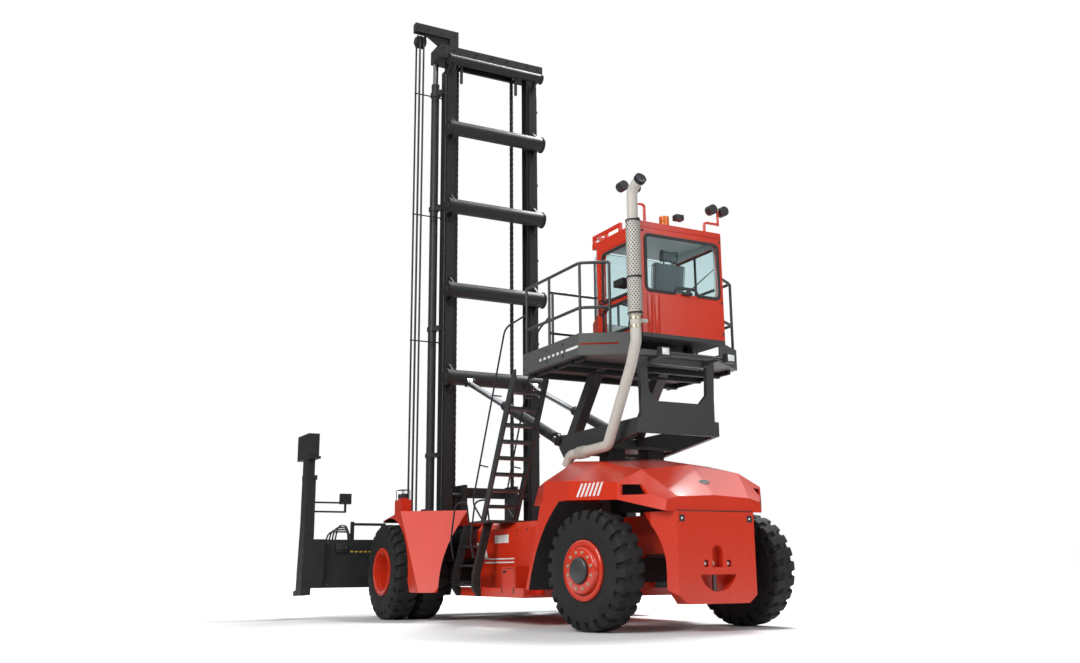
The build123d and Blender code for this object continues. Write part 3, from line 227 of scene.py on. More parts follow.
dustTone = (0.36, 0.31, 0.25)
coats = {
    "red_paint": {
        "colour": (0.63, 0.032, 0.007), "shade": (0.55, 0.025, 0.005), "worn": (0.30, 0.030, 0.02),
        "dustColour": dustTone, "grain": 180.0, "bump": 0.04, "rough": (0.22, 0.34), "coat": 0.55,
        "dust": 0.10, "dustHeight": 1.0, "edge": 0.010, "wear": 0.30,
    },
    "dark_paint": {
        "colour": (0.012, 0.013, 0.014), "shade": (0.019, 0.020, 0.021), "worn": (0.09, 0.09, 0.09),
        "dustColour": (0.14, 0.13, 0.12), "grain": 140.0, "bump": 0.08, "rough": (0.44, 0.58),
        "specular": 0.32, "dust": 0.14, "dustHeight": 1.6, "edge": 0.010, "wear": 0.40,
    },
    "grey_paint": {
        "colour": (0.028, 0.030, 0.031), "shade": (0.039, 0.041, 0.042), "worn": (0.17, 0.17, 0.17),
        "dustColour": (0.16, 0.15, 0.14), "grain": 140.0, "bump": 0.08, "rough": (0.34, 0.50), "coat": 0.06,
        "dust": 0.12, "dustHeight": 1.2, "edge": 0.010, "wear": 0.40,
    },
    "cream_paint": {
        "colour": (0.52, 0.50, 0.46), "shade": (0.43, 0.40, 0.35), "worn": (0.30, 0.22, 0.15),
        "dustColour": (0.30, 0.22, 0.15), "grain": 60.0, "bump": 0.20, "rough": (0.42, 0.62),
        "dust": 0.26, "dustHeight": 3.2, "edge": 0.012, "wear": 0.5,
    },
    "deck_grey": {
        "colour": (0.085, 0.088, 0.084), "shade": (0.070, 0.073, 0.070), "worn": (0.20, 0.20, 0.19),
        "dustColour": (0.20, 0.19, 0.17), "grain": 140.0, "bump": 0.08, "rough": (0.36, 0.52), "coat": 0.05,
        "dust": 0.10, "dustHeight": 1.2, "edge": 0.010, "wear": 0.40,
    },
    # lighter than the dark paint: a painted highlight on the round lift barrels
    "barrel_highlight_grey": {
        "colour": (0.044, 0.046, 0.048), "shade": (0.036, 0.038, 0.040), "worn": (0.22, 0.22, 0.22),
        "dustColour": (0.20, 0.19, 0.17), "grain": 140.0, "bump": 0.05, "rough": (0.36, 0.50),
        "specular": 0.4, "dust": 0.08, "dustHeight": 1.2, "edge": 0.008, "wear": 0.35,
    },
    "polished_rod": {
        "colour": (0.70, 0.71, 0.73), "shade": (0.62, 0.63, 0.65), "worn": (0.5, 0.5, 0.5),
        "dustColour": (0.25, 0.22, 0.18), "grain": 220.0, "bump": 0.02, "rough": (0.08, 0.16),
        "metallic": 1.0, "dust": 0.06, "dustHeight": 1.5, "edge": 0.004, "wear": 0.2,
    },
    "steel": {
        "colour": (0.16, 0.16, 0.165), "shade": (0.10, 0.10, 0.105), "worn": (0.42, 0.42, 0.43),
        "dustColour": (0.16, 0.12, 0.09), "grain": 120.0, "bump": 0.15, "rough": (0.30, 0.48),
        "metallic": 0.9, "dust": 0.25, "dustHeight": 1.5, "edge": 0.006, "wear": 0.8,
    },
    "tyre_rubber": {
        "colour": (0.010, 0.010, 0.011), "shade": (0.016, 0.016, 0.016), "worn": (0.038, 0.037, 0.036),
        "dustColour": (0.11, 0.10, 0.09), "grain": 240.0, "bump": 0.22, "rough": (0.60, 0.80),
        "specular": 0.25, "dust": 0.16, "dustHeight": 1.5, "edge": 0.008, "wear": 0.5,
    },
    "hose_rubber": {
        "colour": (0.014, 0.014, 0.015), "shade": (0.022, 0.022, 0.022), "worn": (0.05, 0.05, 0.05),
        "dustColour": (0.12, 0.11, 0.10), "grain": 300.0, "bump": 0.15, "rough": (0.45, 0.62),
        "dust": 0.10, "dustHeight": 2.0, "edge": 0.004, "wear": 0.3,
    },
    "black_plastic": {
        "colour": (0.015, 0.015, 0.016), "shade": (0.024, 0.024, 0.025), "worn": (0.06, 0.06, 0.06),
        "dustColour": (0.14, 0.13, 0.12), "grain": 420.0, "bump": 0.14, "rough": (0.38, 0.52),
        "dust": 0.10, "dustHeight": 2.0, "edge": 0.004, "wear": 0.3,
    },
    "amber_plastic": {
        "colour": (0.86, 0.22, 0.015), "shade": (0.74, 0.17, 0.012), "worn": (0.9, 0.4, 0.1),
        "dustColour": (0.4, 0.3, 0.2), "grain": 90.0, "bump": 0.05, "rough": (0.14, 0.24), "coat": 0.5,
        "dust": 0.05, "dustHeight": 2.0, "edge": 0.004, "wear": 0.2,
    },
    "seat_fabric": {
        "colour": (0.120, 0.128, 0.135), "shade": (0.145, 0.152, 0.160), "worn": (0.09, 0.09, 0.095),
        "dustColour": (0.12, 0.11, 0.10), "grain": 500.0, "bump": 0.5, "rough": (0.75, 0.92),
        "dust": 0.06, "dustHeight": 2.0, "edge": 0.01, "wear": 0.4,
    },
    "white_stripe": {
        "colour": (0.78, 0.77, 0.75), "shade": (0.70, 0.69, 0.67), "worn": (0.55, 0.25, 0.20),
        "dustColour": dustTone, "grain": 160.0, "bump": 0.04, "rough": (0.34, 0.46),
        "dust": 0.12, "dustHeight": 1.2, "edge": 0.003, "wear": 0.3,
    },
    "yellow_stripe": {
        "colour": (0.62, 0.42, 0.03), "shade": (0.52, 0.34, 0.025), "worn": (0.12, 0.10, 0.05),
        "dustColour": dustTone, "grain": 160.0, "bump": 0.04, "rough": (0.40, 0.52),
        "dust": 0.16, "dustHeight": 1.2, "edge": 0.003, "wear": 0.5,
    },
    "bolt_zinc": {
        "colour": (0.62, 0.56, 0.42), "shade": (0.50, 0.44, 0.32), "worn": (0.7, 0.68, 0.6),
        "dustColour": (0.25, 0.18, 0.12), "grain": 300.0, "bump": 0.05, "rough": (0.26, 0.42),
        "metallic": 0.7, "dust": 0.15, "dustHeight": 1.2, "edge": 0.003, "wear": 0.4,
    },
    "lamp_lens": {
        "colour": (0.80, 0.82, 0.82), "shade": (0.68, 0.71, 0.72), "worn": (0.8, 0.8, 0.8),
        "dustColour": dustTone, "grain": 70.0, "bump": 0.30, "rough": (0.06, 0.14), "coat": 0.6,
        "dust": 0.05, "dustHeight": 1.2, "edge": 0.003, "wear": 0.1,
    },
    "roof_lining": {
        "colour": (0.58, 0.61, 0.61), "shade": (0.50, 0.53, 0.53), "worn": (0.45, 0.46, 0.46),
        "dustColour": (0.20, 0.19, 0.18), "grain": 500.0, "bump": 0.3, "rough": (0.75, 0.9),
        "dust": 0.05, "dustHeight": 1.2, "edge": 0.004, "wear": 0.2,
    },
}
# nodes that stand apart from the plain finish of their slot; the lift barrels' lighter grey is a painted highlight
# on their dark paint
nodeLooks = {"platform_deck": "deck_grey", "lift_barrels": "barrel_highlight_grey"}


glassLook = {
    "colour": (0.74, 0.85, 0.86), "shade": (0.70, 0.81, 0.82), "grain": 14.0, "bump": 0.01,
    "rough": (0.01, 0.03), "ior": 1.18, "shadow": (0.92, 0.95, 0.95, 1.0),
}


def glassMaterial():
    look = glassLook
    material, tree, shader = newMaterial("window_glass")
    grain = addGroup(tree, surfaceGrain, {"Scale": look["grain"], "Strength": look["bump"]})
    colour = mixColours(tree, grain.outputs["Blotch"], look["colour"], look["shade"])
    tree.links.new(colour, shader.inputs["Base Color"])
    setRoughness(tree, shader, grain.outputs["Value"], *look["rough"])
    shader.inputs["Transmission Weight"].default_value = 1.0
    shader.inputs["IOR"].default_value = look["ior"]
    clear = addNode(tree, "ShaderNodeBsdfTransparent", {"Color": look["shadow"]})
    path = addNode(tree, "ShaderNodeLightPath")
    mix = addNode(tree, "ShaderNodeMixShader")
    tree.links.new(path.outputs["Is Shadow Ray"], mix.inputs["Fac"])
    tree.links.new(shader.outputs["BSDF"], mix.inputs[1])
    tree.links.new(clear.outputs["BSDF"], mix.inputs[2])
    tree.links.new(mix.outputs["Shader"], tree.nodes["Material Output"].inputs["Surface"])
    return material


materials = {name: coatedMaterial(name, look) for name, look in coats.items()}
materials["window_glass"] = glassMaterial()
for subpart in frame["record"]["subparts"]:
    mesh = nodes[subpart["node"]].data
    mesh.materials.clear()
    mesh.materials.append(materials[nodeLooks.get(subpart["node"], subpart["material_slot"])])
print("materials", len(materials))


# Mesh helpers
sharpEdge = 0.6  # radians between two faces, past which their edge is bevelled
mergeReach = 0.00002
bendSteps = 6
boltLook = {"washer": 1.25, "washerRise": 0.25, "washerSides": 10, "headSides": 6}


def finishPiece(name, bm, look, body="chassis", smoothAngle=35, replaced=(), bevel=0.0):
    if bevel:
        edges = [edge for edge in bm.edges if edge.is_manifold and edge.calc_face_angle(0.0) > sharpEdge]
        bmesh.ops.bevel(
            bm, geom=edges, offset=bevel, segments=2, profile=0.5, affect="EDGES", material=-1,
            clamp_overlap=True,
        )
    bmesh.ops.recalc_face_normals(bm, faces=bm.faces[:])
    mesh = bpy.data.meshes.new(name)
    bm.to_mesh(mesh)
    bm.free()
    mesh.shade_smooth()
    mesh.set_sharp_from_angle(angle=math.radians(smoothAngle))
    piece = bpy.data.objects.new(name, mesh)
    bpy.context.scene.collection.objects.link(piece)
    mesh.materials.append(materials[look])
    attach(piece, body)
    if replaced:
        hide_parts(*replaced)
    return piece


def axisFrame(point, axis, start=(0, 1, 0)):
    turn = Vector(start).rotation_difference(Vector(axis))
    return Matrix.Translation(Vector(point)) @ turn.to_matrix().to_4x4()


def rectangle(left, right, low, high):
    return [(left, low), (right, low), (right, high), (left, high)]


def ringProfile(inner, outer, low, high):
    return [(inner, low), (outer, low), (outer, high), (inner, high)]


def addBox(bm, low, high):
    low, high = Vector(low), Vector(high)
    size = Matrix.Diagonal((*(high - low), 1.0))
    bmesh.ops.create_cube(bm, size=1.0, matrix=Matrix.Translation((low + high) / 2) @ size)


def addBlock(bm, centre, half):
    addBox(bm, [c - h for c, h in zip(centre, half)], [c + h for c, h in zip(centre, half)])


def addRod(bm, start, end, radius, sides=16):
    start, end = Vector(start), Vector(end)
    bmesh.ops.create_cone(
        bm, cap_ends=True, segments=sides, radius1=radius, radius2=radius, depth=(end - start).length,
        matrix=axisFrame((start + end) / 2, end - start, (0, 0, 1)),
    )


def addTurned(bm, profile, place, sides=48):
    # profile of (radius, offset along the local Y axis), closed at the axis or as a ring
    spots = [bm.verts.new(place @ Vector((radius, along, 0.0))) for radius, along in profile]
    edges = [bm.edges.new(pair) for pair in zip(spots, spots[1:])]
    if profile[0][0] and profile[-1][0]:
        edges.append(bm.edges.new((spots[-1], spots[0])))
    bmesh.ops.spin(
        bm, geom=spots + edges, cent=place @ Vector((0, 0, 0)), axis=place.to_3x3() @ Vector((0, 1, 0)),
        angle=math.tau, steps=sides, use_merge=True,
    )
    bmesh.ops.remove_doubles(bm, verts=bm.verts[:], dist=mergeReach)


def addPipe(bm, points, radius, bend=0.1, sides=12):
    # straight runs with round bends, swept as one tube
    spots = [Vector(point) for point in points]
    route = [spots[0]]
    for before, corner, after in zip(spots, spots[1:], spots[2:]):
        start = corner + (before - corner).normalized() * bend
        end = corner + (after - corner).normalized() * bend
        for step in range(bendSteps + 1):
            share = step / bendSteps
            route.append(start.lerp(corner, share).lerp(corner.lerp(end, share), share))
    route.append(spots[-1])
    curve = bpy.data.curves.new("pipeRoute", "CURVE")
    curve.dimensions = "3D"
    curve.bevel_depth = radius
    curve.bevel_resolution = max(1, sides // 4 - 1)
    curve.use_fill_caps = True
    line = curve.splines.new("POLY")
    line.points.add(len(route) - 1)
    for point, spot in zip(line.points, route):
        point.co = (*spot, 1.0)
    holder = bpy.data.objects.new("pipeRoute", curve)
    bm.from_mesh(holder.to_mesh())
    holder.to_mesh_clear()
    bpy.data.objects.remove(holder)
    bpy.data.curves.remove(curve)


def extrudeFaces(bm, faces, offset):
    grown = bmesh.ops.extrude_face_region(bm, geom=faces)
    moved = [item for item in grown["geom"] if isinstance(item, bmesh.types.BMVert)]
    bmesh.ops.translate(bm, verts=moved, vec=Vector(offset))


def addFrame(bm, corners, normal, radius, width, depth, sharp=()):
    # rounded frame round a window: inset face, opened and thickened, with some corners left sharp
    part = bmesh.new()
    spots = [part.verts.new(Vector(corner)) for corner in corners]
    part.faces.new(spots)
    rounded = [spot for number, spot in enumerate(spots) if number not in sharp]
    bmesh.ops.bevel(
        part, geom=rounded, offset=radius, segments=5, profile=0.5, affect="VERTICES", material=-1
    )
    inner = part.faces[:]
    bmesh.ops.inset_region(part, faces=inner, thickness=width, use_boundary=True, use_even_offset=True)
    bmesh.ops.delete(part, geom=inner, context="FACES_ONLY")
    extrudeFaces(part, part.faces[:], Vector(normal) * depth)
    mesh = bpy.data.meshes.new("windowFrame")
    part.to_mesh(mesh)
    part.free()
    bm.from_mesh(mesh)
    bpy.data.meshes.remove(mesh)


def addSlab(bm, corners, offset):
    # flat patch that stands proud by the offset vector
    face = bm.faces.new([bm.verts.new(Vector(corner)) for corner in corners])
    extrudeFaces(bm, [face], offset)


def addBolt(bm, point, normal, size):
    normal, point = Vector(normal).normalized(), Vector(point)
    seat = point + normal * size * boltLook["washerRise"]
    addRod(bm, point, seat, size * boltLook["washer"], boltLook["washerSides"])
    addRod(bm, seat, point + normal * size, size, boltLook["headSides"])


def addBoltRing(bm, place, radius, along, facing, count, size):
    axis = place.to_3x3() @ Vector((0, facing, 0))
    for number in range(count):
        angle = math.tau * (number + 0.5) / count
        spot = Vector((radius * math.cos(angle), along, radius * math.sin(angle)))
        addBolt(bm, place @ spot, axis, size)


# Tyres
tyreLook = {
    "lugs": 24, "radius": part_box("rear_tyre_left")[1].z / 2, "depth": 0.036, "twin": 0.215, "smooth": 28,
    "share": (0.0, 0.28, 0.56, 0.62, 0.78, 0.94), "groove": (0.0, 0.0, 0.0, 1.0, 1.0, 1.0),
    # offset from the middle plane, drop from the outer radius, groove weight, slant
    "profile": (
        (0.165, 0.379, 0.0, 0.0), (0.165, 0.335, 0.0, 0.0), (0.174, 0.318, 0.0, 0.0),
        (0.171, 0.296, 0.0, 0.0), (0.183, 0.258, 0.0, 0.0), (0.187, 0.200, 0.0, 0.0),
        (0.187, 0.150, 0.0, 0.0), (0.184, 0.112, 0.0, 0.0), (0.182, 0.104, 0.8, 0.0),
        (0.175, 0.060, 1.0, 0.02), (0.163, 0.022, 1.0, 0.05), (0.148, 0.006, 1.0, 0.08),
        (0.098, 0.001, 0.9, 0.16), (0.052, 0.0, 0.8, 0.22), (0.030, 0.0, 0.0, 0.26),
    ),
}
twinPlanes = (-tyreLook["twin"], tyreLook["twin"])
wheels = (  # name, tyre node, body, middle planes of its tyres
    ("front_left", "front_tyres_left", "front_wheels_left", twinPlanes),
    ("front_right", "front_tyres_right", "front_wheels_right", twinPlanes),
    ("rear_left", "rear_tyre_left", "rear_wheel_left", (0.0,)),
    ("rear_right", "rear_tyre_right", "rear_wheel_right", (0.0,)),
)


def wheelPlace(name):
    joint = joints[f"{name}_spin"]
    return axisFrame(joint["pos_m"], joint["axis"])


def tyreRows():
    # the far half lies half a lug further round
    half = tyreLook["profile"]
    rows = [(-across, drop, weight, -slant) for across, drop, weight, slant in half]
    return rows + [(across, drop, weight, 0.5 + slant) for across, drop, weight, slant in reversed(half)]


def makeTyre():
    # a spun ring whose columns are moved round and in, so that lugs stand between the grooves
    rows = tyreRows()
    columns = len(tyreLook["share"])
    steps = tyreLook["lugs"] * columns
    bm = bmesh.new()
    rowLayer = bm.verts.layers.int.new("row")
    spots = [bm.verts.new((0.0, row[0], tyreLook["radius"] - row[1])) for row in rows]
    for number, spot in enumerate(spots):
        spot[rowLayer] = number
    edges = [bm.edges.new(pair) for pair in zip(spots, spots[1:] + spots[:1])]
    bmesh.ops.spin(
        bm, geom=spots + edges, cent=(0, 0, 0), axis=(0, 1, 0), angle=math.tau, steps=steps, use_merge=True
    )
    for spot in bm.verts:
        number = spot[rowLayer]
        across, drop, weight, slant = rows[number]
        ahead, behind = rows[(number + 1) % len(rows)], rows[number - 1]
        inward = Vector((behind[1] - ahead[1], behind[0] - ahead[0])).normalized()
        column = round(math.atan2(spot.co.x, spot.co.z) / math.tau * steps) % steps
        lug, part = divmod(column, columns)
        angle = math.tau * (lug + tyreLook["share"][part] + slant) / tyreLook["lugs"]
        depth = tyreLook["depth"] * tyreLook["groove"][part] * weight
        radius = tyreLook["radius"] - drop + inward.y * depth
        spot.co = (radius * math.sin(angle), across + inward.x * depth, radius * math.cos(angle))
    mesh = bpy.data.meshes.new("tyreRing")
    bm.to_mesh(mesh)
    bm.free()
    return mesh


def buildTyres():
    ring = makeTyre()
    for name, node, body, offsets in wheels:
        bm = bmesh.new()
        for offset in offsets:
            first = len(bm.verts)
            bm.from_mesh(ring)
            bm.verts.ensure_lookup_table()
            place = wheelPlace(name) @ Matrix.Translation((0, offset, 0))
            bmesh.ops.transform(bm, matrix=place, verts=bm.verts[first:])
        finishPiece(f"tyres_{name}", bm, "tyre_rubber", body, tyreLook["smooth"], [node])
    bpy.data.meshes.remove(ring)
    print("tyres")


# Wheel trim, with profiles of (radius, offset outward from the wheel's middle plane)
rearWheelLook = {
    "cap": (
        (0.0, 0.272), (0.130, 0.272), (0.138, 0.268), (0.147, 0.258), (0.147, 0.152), (0.142, 0.152),
        (0.142, 0.255), (0.126, 0.2695), (0.0, 0.2695),
    ),
    "disc": (
        (0.1495, 0.1240), (0.1495, 0.226), (0.156, 0.232), (0.246, 0.232), (0.256, 0.227),
        (0.262, 0.217), (0.278, 0.150), (0.286, 0.137), (0.298, 0.1296), (0.298, 0.1240),
    ),
    "bead": ((0.322, 0.1836), (0.324, 0.192), (0.334, 0.194), (0.340, 0.190), (0.340, 0.1836)),
    "nuts": (0.208, 0.232, 1, 12, 0.016),  # circle, face, facing, count, size
}
frontWheelLook = {
    "cap": ((0.0, 0.138), (0.040, 0.138), (0.052, 0.130), (0.052, 0.1203), (0.0, 0.1203)),
    "bead": ((0.322, 0.3986), (0.324, 0.407), (0.334, 0.409), (0.340, 0.405), (0.340, 0.3986)),
    "nuts": (0.228, 0.0203, 1, 16, 0.014), "hubBolts": (0.132, 0.1203, 1, 12, 0.011),
}


def buildWheelTrim():
    for name, _, body, _ in wheels:
        look = rearWheelLook if name.startswith("rear") else frontWheelLook
        place = wheelPlace(name)
        outward = place @ Matrix.Diagonal((1, 1 if place.translation.y > 0 else -1, 1, 1))
        nuts, metal, cap = bmesh.new(), bmesh.new(), bmesh.new()
        addBoltRing(nuts, outward, *look["nuts"])
        addTurned(metal, look["bead"], outward)
        addTurned(cap, look["cap"], outward)
        if "disc" in look:
            addTurned(metal, look["disc"], outward)
        if "hubBolts" in look:
            addBoltRing(nuts, outward, *look["hubBolts"])
        finishPiece(f"wheel_nuts_{name}", nuts, "bolt_zinc", body)
        finishPiece(f"rim_rings_{name}", metal, "red_paint", body)
        finishPiece(f"hub_cap_{name}", cap, "grey_paint", body)
    print("wheel trim")


# Window seals
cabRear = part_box("cab_rear_panel")[0].x
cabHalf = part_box("cab_rear_panel")[1].y
sealLook = {
    "lap": 0.022, "shape": (0.075, 0.040, 0.010), "bevel": 0.003,  # shape: corner radius, width, depth
    "rear": (0.545, 4.0, 4.7),  # half width, z from and to
    "notch": (-0.165, 0.085, 0.045, 0.075),  # y from and to, slope, rise
    "notchCorners": (1, 2, 3, 4),
    "side": (-2.91, -2.04, 3.96, 4.70),  # x from and to, z from and to
    "door": ((-2.84, -2.125, 4.02, 4.66), (-2.84, -2.125, 3.58, 3.93)),
    "nosePost": (0.004, 0.372, 0.012, 10),  # gap before the glass, y, radius, sides
    "pillar": (-1.982, -1.962, 0.586, 0.012, 3.9),  # x from and to, y, half width, foot
    "sill": ((-1.53, -0.37, 3.893), (-1.512, 0.37, 3.912)),
    "sideBar": (-2.512, -2.484, 0.020, 0.045),  # x from and to, inset from and to
}


def lappedWindow(window):
    left, right, low, high = window
    lap = sealLook["lap"]
    return rectangle(left - lap, right + lap, low - lap, high + lap)


def rearOutline():
    reach, low, high = sealLook["rear"]
    start, end, slope, rise = sealLook["notch"]
    foot = low - sealLook["lap"]
    notch = [(start - slope, foot), (start, foot + rise), (end, foot + rise), (end + slope, foot)]
    corners = lappedWindow((-reach, reach, low, high))
    return corners[:1] + notch + corners[1:]


def buildSeals():
    look = sealLook
    seals, doorSeals = bmesh.new(), bmesh.new()
    outline = [(cabRear, y, z) for y, z in rearOutline()]
    addFrame(seals, outline, (-1, 0, 0), *look["shape"], look["notchCorners"])
    addFrame(seals, [(x, -cabHalf, z) for x, z in lappedWindow(look["side"])], (0, -1, 0), *look["shape"])
    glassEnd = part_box("cab_glass")[1]
    gap, y, radius, sides = look["nosePost"]
    start, end, across, half, foot = look["pillar"]
    for side in (1, -1):
        post = (glassEnd.x + gap, side * y)
        addRod(seals, (*post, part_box("cab_nose_panel")[1].z), (*post, glassEnd.z), radius, sides)
        addBox(seals, (start, side * across - half, foot), (end, side * across + half, glassEnd.z))
    addBox(seals, *look["sill"])
    start, end, outer, inner = look["sideBar"]
    low, high = look["side"][2:]
    addBox(seals, (start, -cabHalf + outer, low), (end, -cabHalf + inner, high))
    finishPiece("cab_seals", seals, "hose_rubber", bevel=look["bevel"])
    for window in look["door"]:
        corners = [(x, cabHalf, z) for x, z in lappedWindow(window)]
        addFrame(doorSeals, corners, (0, 1, 0), *look["shape"])
    finishPiece("door_seals", doorSeals, "hose_rubber", "door", bevel=look["bevel"])
    print("window seals")


# Door handle
handleLook = {
    "x": -2.105, "from": 3.86, "to": 4.06, "reach": 0.045, "radius": 0.011, "bend": 0.02,
    "plate": ((-2.13, 3.965), (-2.08, 4.015)), "plateRise": 0.014,
}


def buildDoorHandle():
    look = handleLook
    handle = bmesh.new()
    grip = cabHalf + look["reach"]
    route = [(cabHalf, look["from"]), (grip, look["from"]), (grip, look["to"]), (cabHalf, look["to"])]
    addPipe(handle, [(look["x"], y, z) for y, z in route], look["radius"], look["bend"])
    (start, low), (end, high) = look["plate"]
    addBox(handle, (start, cabHalf, low), (end, cabHalf + look["plateRise"], high))
    finishPiece("door_handle", handle, "black_plastic", "door")
    print("door handle")


# Roof lining
liningLook = {"inset": 0.055, "nose": 0.03, "drop": (0.016, 0.002), "bevel": 0.004}


def buildLining():
    look = liningLook
    lining = bmesh.new()
    low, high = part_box("cab_roof")
    side = cabHalf - look["inset"]
    addBox(
        lining, (cabRear + look["inset"], -side, low.z - look["drop"][0]),
        (high.x - look["nose"], side, low.z - look["drop"][1]),
    )
    finishPiece("roof_lining", lining, "roof_lining", bevel=look["bevel"])
    print("roof lining")


# Ribs and roof seam on the cab's rear panel
ribLook = {
    "middles": (0.400, 0.502), "low": 3.475, "high": 3.945, "width": 0.090, "rise": 0.014, "steps": 8,
    "seam": (0.010, 0.0005, 0.002, 4.795, 4.806), "bevel": 0.002,  # rise, gap, end gap, z from and to
}


def buildPanelRibs():
    look = ribLook
    ribs = bmesh.new()
    for y in look["middles"]:
        corners = []
        for step in range(look["steps"] + 1):
            share = step / look["steps"]
            rise = look["rise"] * math.sin(math.pi * share)
            corners.append((cabRear - rise, y + look["width"] * (share - 0.5), look["low"]))
        addSlab(ribs, corners, (0, 0, look["high"] - look["low"]))
    rise, gap, endGap, low, high = look["seam"]
    addBox(ribs, (cabRear - rise, -cabHalf + endGap, low), (cabRear - gap, cabHalf - endGap, high))
    finishPiece("panel_ribs", ribs, "red_paint", bevel=look["bevel"])
    print("panel ribs")


# Rear wiper and the bolts of its panel, with x measured from the panel's face
wiperLook = {
    "pivot": (-0.020, -0.06, 4.03), "tip": (-0.022, -0.46, 4.37), "sides": 8, "bevel": 0.002,
    "boss": (0.018, -0.016, 0.026, 14),  # x from and to, radius, sides
    "arm": (0.72, 0.008), "blade": (0.34, 0.006),  # share of the way to the tip, radius
    "motor": ((-0.05, -0.10, 3.985), (-0.001, 0.03, 4.02)),
    "bolts": ((-0.585, 3.55), (-0.585, 3.95), (-0.585, 4.75), (0.585, 4.75)), "bolt": 0.014,
}


def buildRearWiper():
    look = wiperLook
    wiper = bmesh.new()
    face = Vector((cabRear, 0, 0))
    pivot, tip = face + Vector(look["pivot"]), face + Vector(look["tip"])
    inner, outer, radius, sides = look["boss"]
    addRod(wiper, pivot + Vector((inner, 0, 0)), pivot + Vector((outer, 0, 0)), radius, sides)
    share, radius = look["arm"]
    addRod(wiper, pivot, pivot.lerp(tip, share), radius, look["sides"])
    share, radius = look["blade"]
    addRod(wiper, pivot.lerp(tip, share), tip, radius, look["sides"])
    addBox(wiper, *[face + Vector(corner) for corner in look["motor"]])
    for y, z in look["bolts"]:
        addBolt(wiper, (cabRear, y, z), (-1, 0, 0), look["bolt"])
    finishPiece("rear_wiper", wiper, "black_plastic", bevel=look["bevel"])
    print("rear wiper")


# Driver's seat
seatLook = {
    "voxel": 0.009, "pressure": 4.0, "frames": 20, "cap": 0.011, "margin": 0.010, "corner": 0.030,
    "fill": 0.85, "channel": 0.007, "groove": 0.012, "smooth": 80,
    "pads": (  # name, side view in x and z, half width, lines of stitching across it
        ("seat_cushion", ((-2.70, 3.73), (-2.20, 3.73), (-2.20, 3.85), (-2.70, 3.85)), 0.25, (-0.13, 0.13)),
        ("seat_back", ((-2.70, 3.85), (-2.59, 3.85), (-2.67, 4.48), (-2.77, 4.48)), 0.24, (-0.12, 0.12)),
        ("seat_headrest", ((-2.765, 4.48), (-2.68, 4.48), (-2.695, 4.64), (-2.765, 4.64)), 0.13, (0.0,)),
    ),
}
weltLook = {"radius": 0.005, "sides": 8, "pullIn": 0.10, "inset": 0.022}
seatBaseLook = {
    "rear": -2.64, "front": -2.28, "half": 0.20, "plate": 0.03, "folds": 5, "foldShare": 0.55,
    "wide": 0.012, "narrow": 0.028, "bevel": 0.005,  # insets of a fold's two steps
    "posts": ((-2.715, 4.43), (-2.725, 4.53)),  # x and z of foot and head
    "postSides": (-0.07, 0.07), "post": (0.010, 10),  # radius, sides
}


def padForm(outline, half):
    look = seatLook
    bm = bmesh.new()
    face = bm.faces.new([bm.verts.new((x, -half, z)) for x, z in outline])
    extrudeFaces(bm, [face], (0, 2 * half, 0))
    bmesh.ops.recalc_face_normals(bm, faces=bm.faces[:])
    bmesh.ops.bevel(
        bm, geom=bm.edges[:], offset=look["corner"], segments=3, profile=0.5, affect="EDGES", material=-1
    )
    for spot in bm.verts:
        spot.co -= spot.normal * look["margin"]
    return bm


def swellPad(bm):
    # voxel mesh blown up as cloth, each point held within the cap
    look = seatLook
    scene = bpy.context.scene
    mesh = bpy.data.meshes.new("padForm")
    bm.to_mesh(mesh)
    bm.free()
    pad = bpy.data.objects.new("padForm", mesh)
    scene.collection.objects.link(pad)
    voxels = pad.modifiers.new("voxels", "REMESH")
    voxels.mode = "VOXEL"
    voxels.voxel_size = look["voxel"]
    rested = bpy.data.meshes.new_from_object(pad.evaluated_get(bpy.context.evaluated_depsgraph_get()))
    pad.modifiers.remove(voxels)
    pad.data = rested
    cloth = pad.modifiers.new("swell", "CLOTH")
    cloth.settings.use_pressure = True
    cloth.settings.uniform_pressure_force = look["pressure"]
    cloth.settings.effector_weights.gravity = 0.0
    for number in range(1, look["frames"] + 1):
        scene.frame_set(number)
    swollen = bpy.data.meshes.new_from_object(pad.evaluated_get(bpy.context.evaluated_depsgraph_get()))
    for before, after in zip(rested.vertices, swollen.vertices):
        move = after.co - before.co
        if move.length > look["cap"]:
            after.co = before.co + move * (look["cap"] / move.length)
    scene.frame_set(1)
    bpy.data.objects.remove(pad)
    grown = bmesh.new()
    grown.from_mesh(swollen)
    for spare in (mesh, rested, swollen):
        bpy.data.meshes.remove(spare)
    return grown


def stitchPad(bm, lines):
    # stitched channels, sunk along the normals
    look = seatLook
    bmesh.ops.smooth_vert(
        bm, verts=bm.verts[:], factor=0.5, use_axis_x=True, use_axis_y=True, use_axis_z=True
    )
    bm.normal_update()
    for spot in bm.verts:
        depth = sum(math.exp(-((spot.co.y - line) / look["groove"]) ** 2) for line in lines)
        spot.co -= spot.normal * look["channel"] * depth * (1.0 - abs(spot.normal.y))


def addWelts(bm, outline, half):
    look = weltLook
    spots = [Vector((x, 0, z)) for x, z in outline]
    middle = sum(spots, Vector()) / len(spots)
    for side in (1, -1):
        shift = Vector((0, side * (half - look["inset"]), 0))
        loop = [spot.lerp(middle, look["pullIn"]) + shift for spot in spots]
        start = loop[0].lerp(loop[1], 0.5)
        addPipe(bm, [start, *loop[1:], loop[0], start], look["radius"], seatLook["corner"], look["sides"])


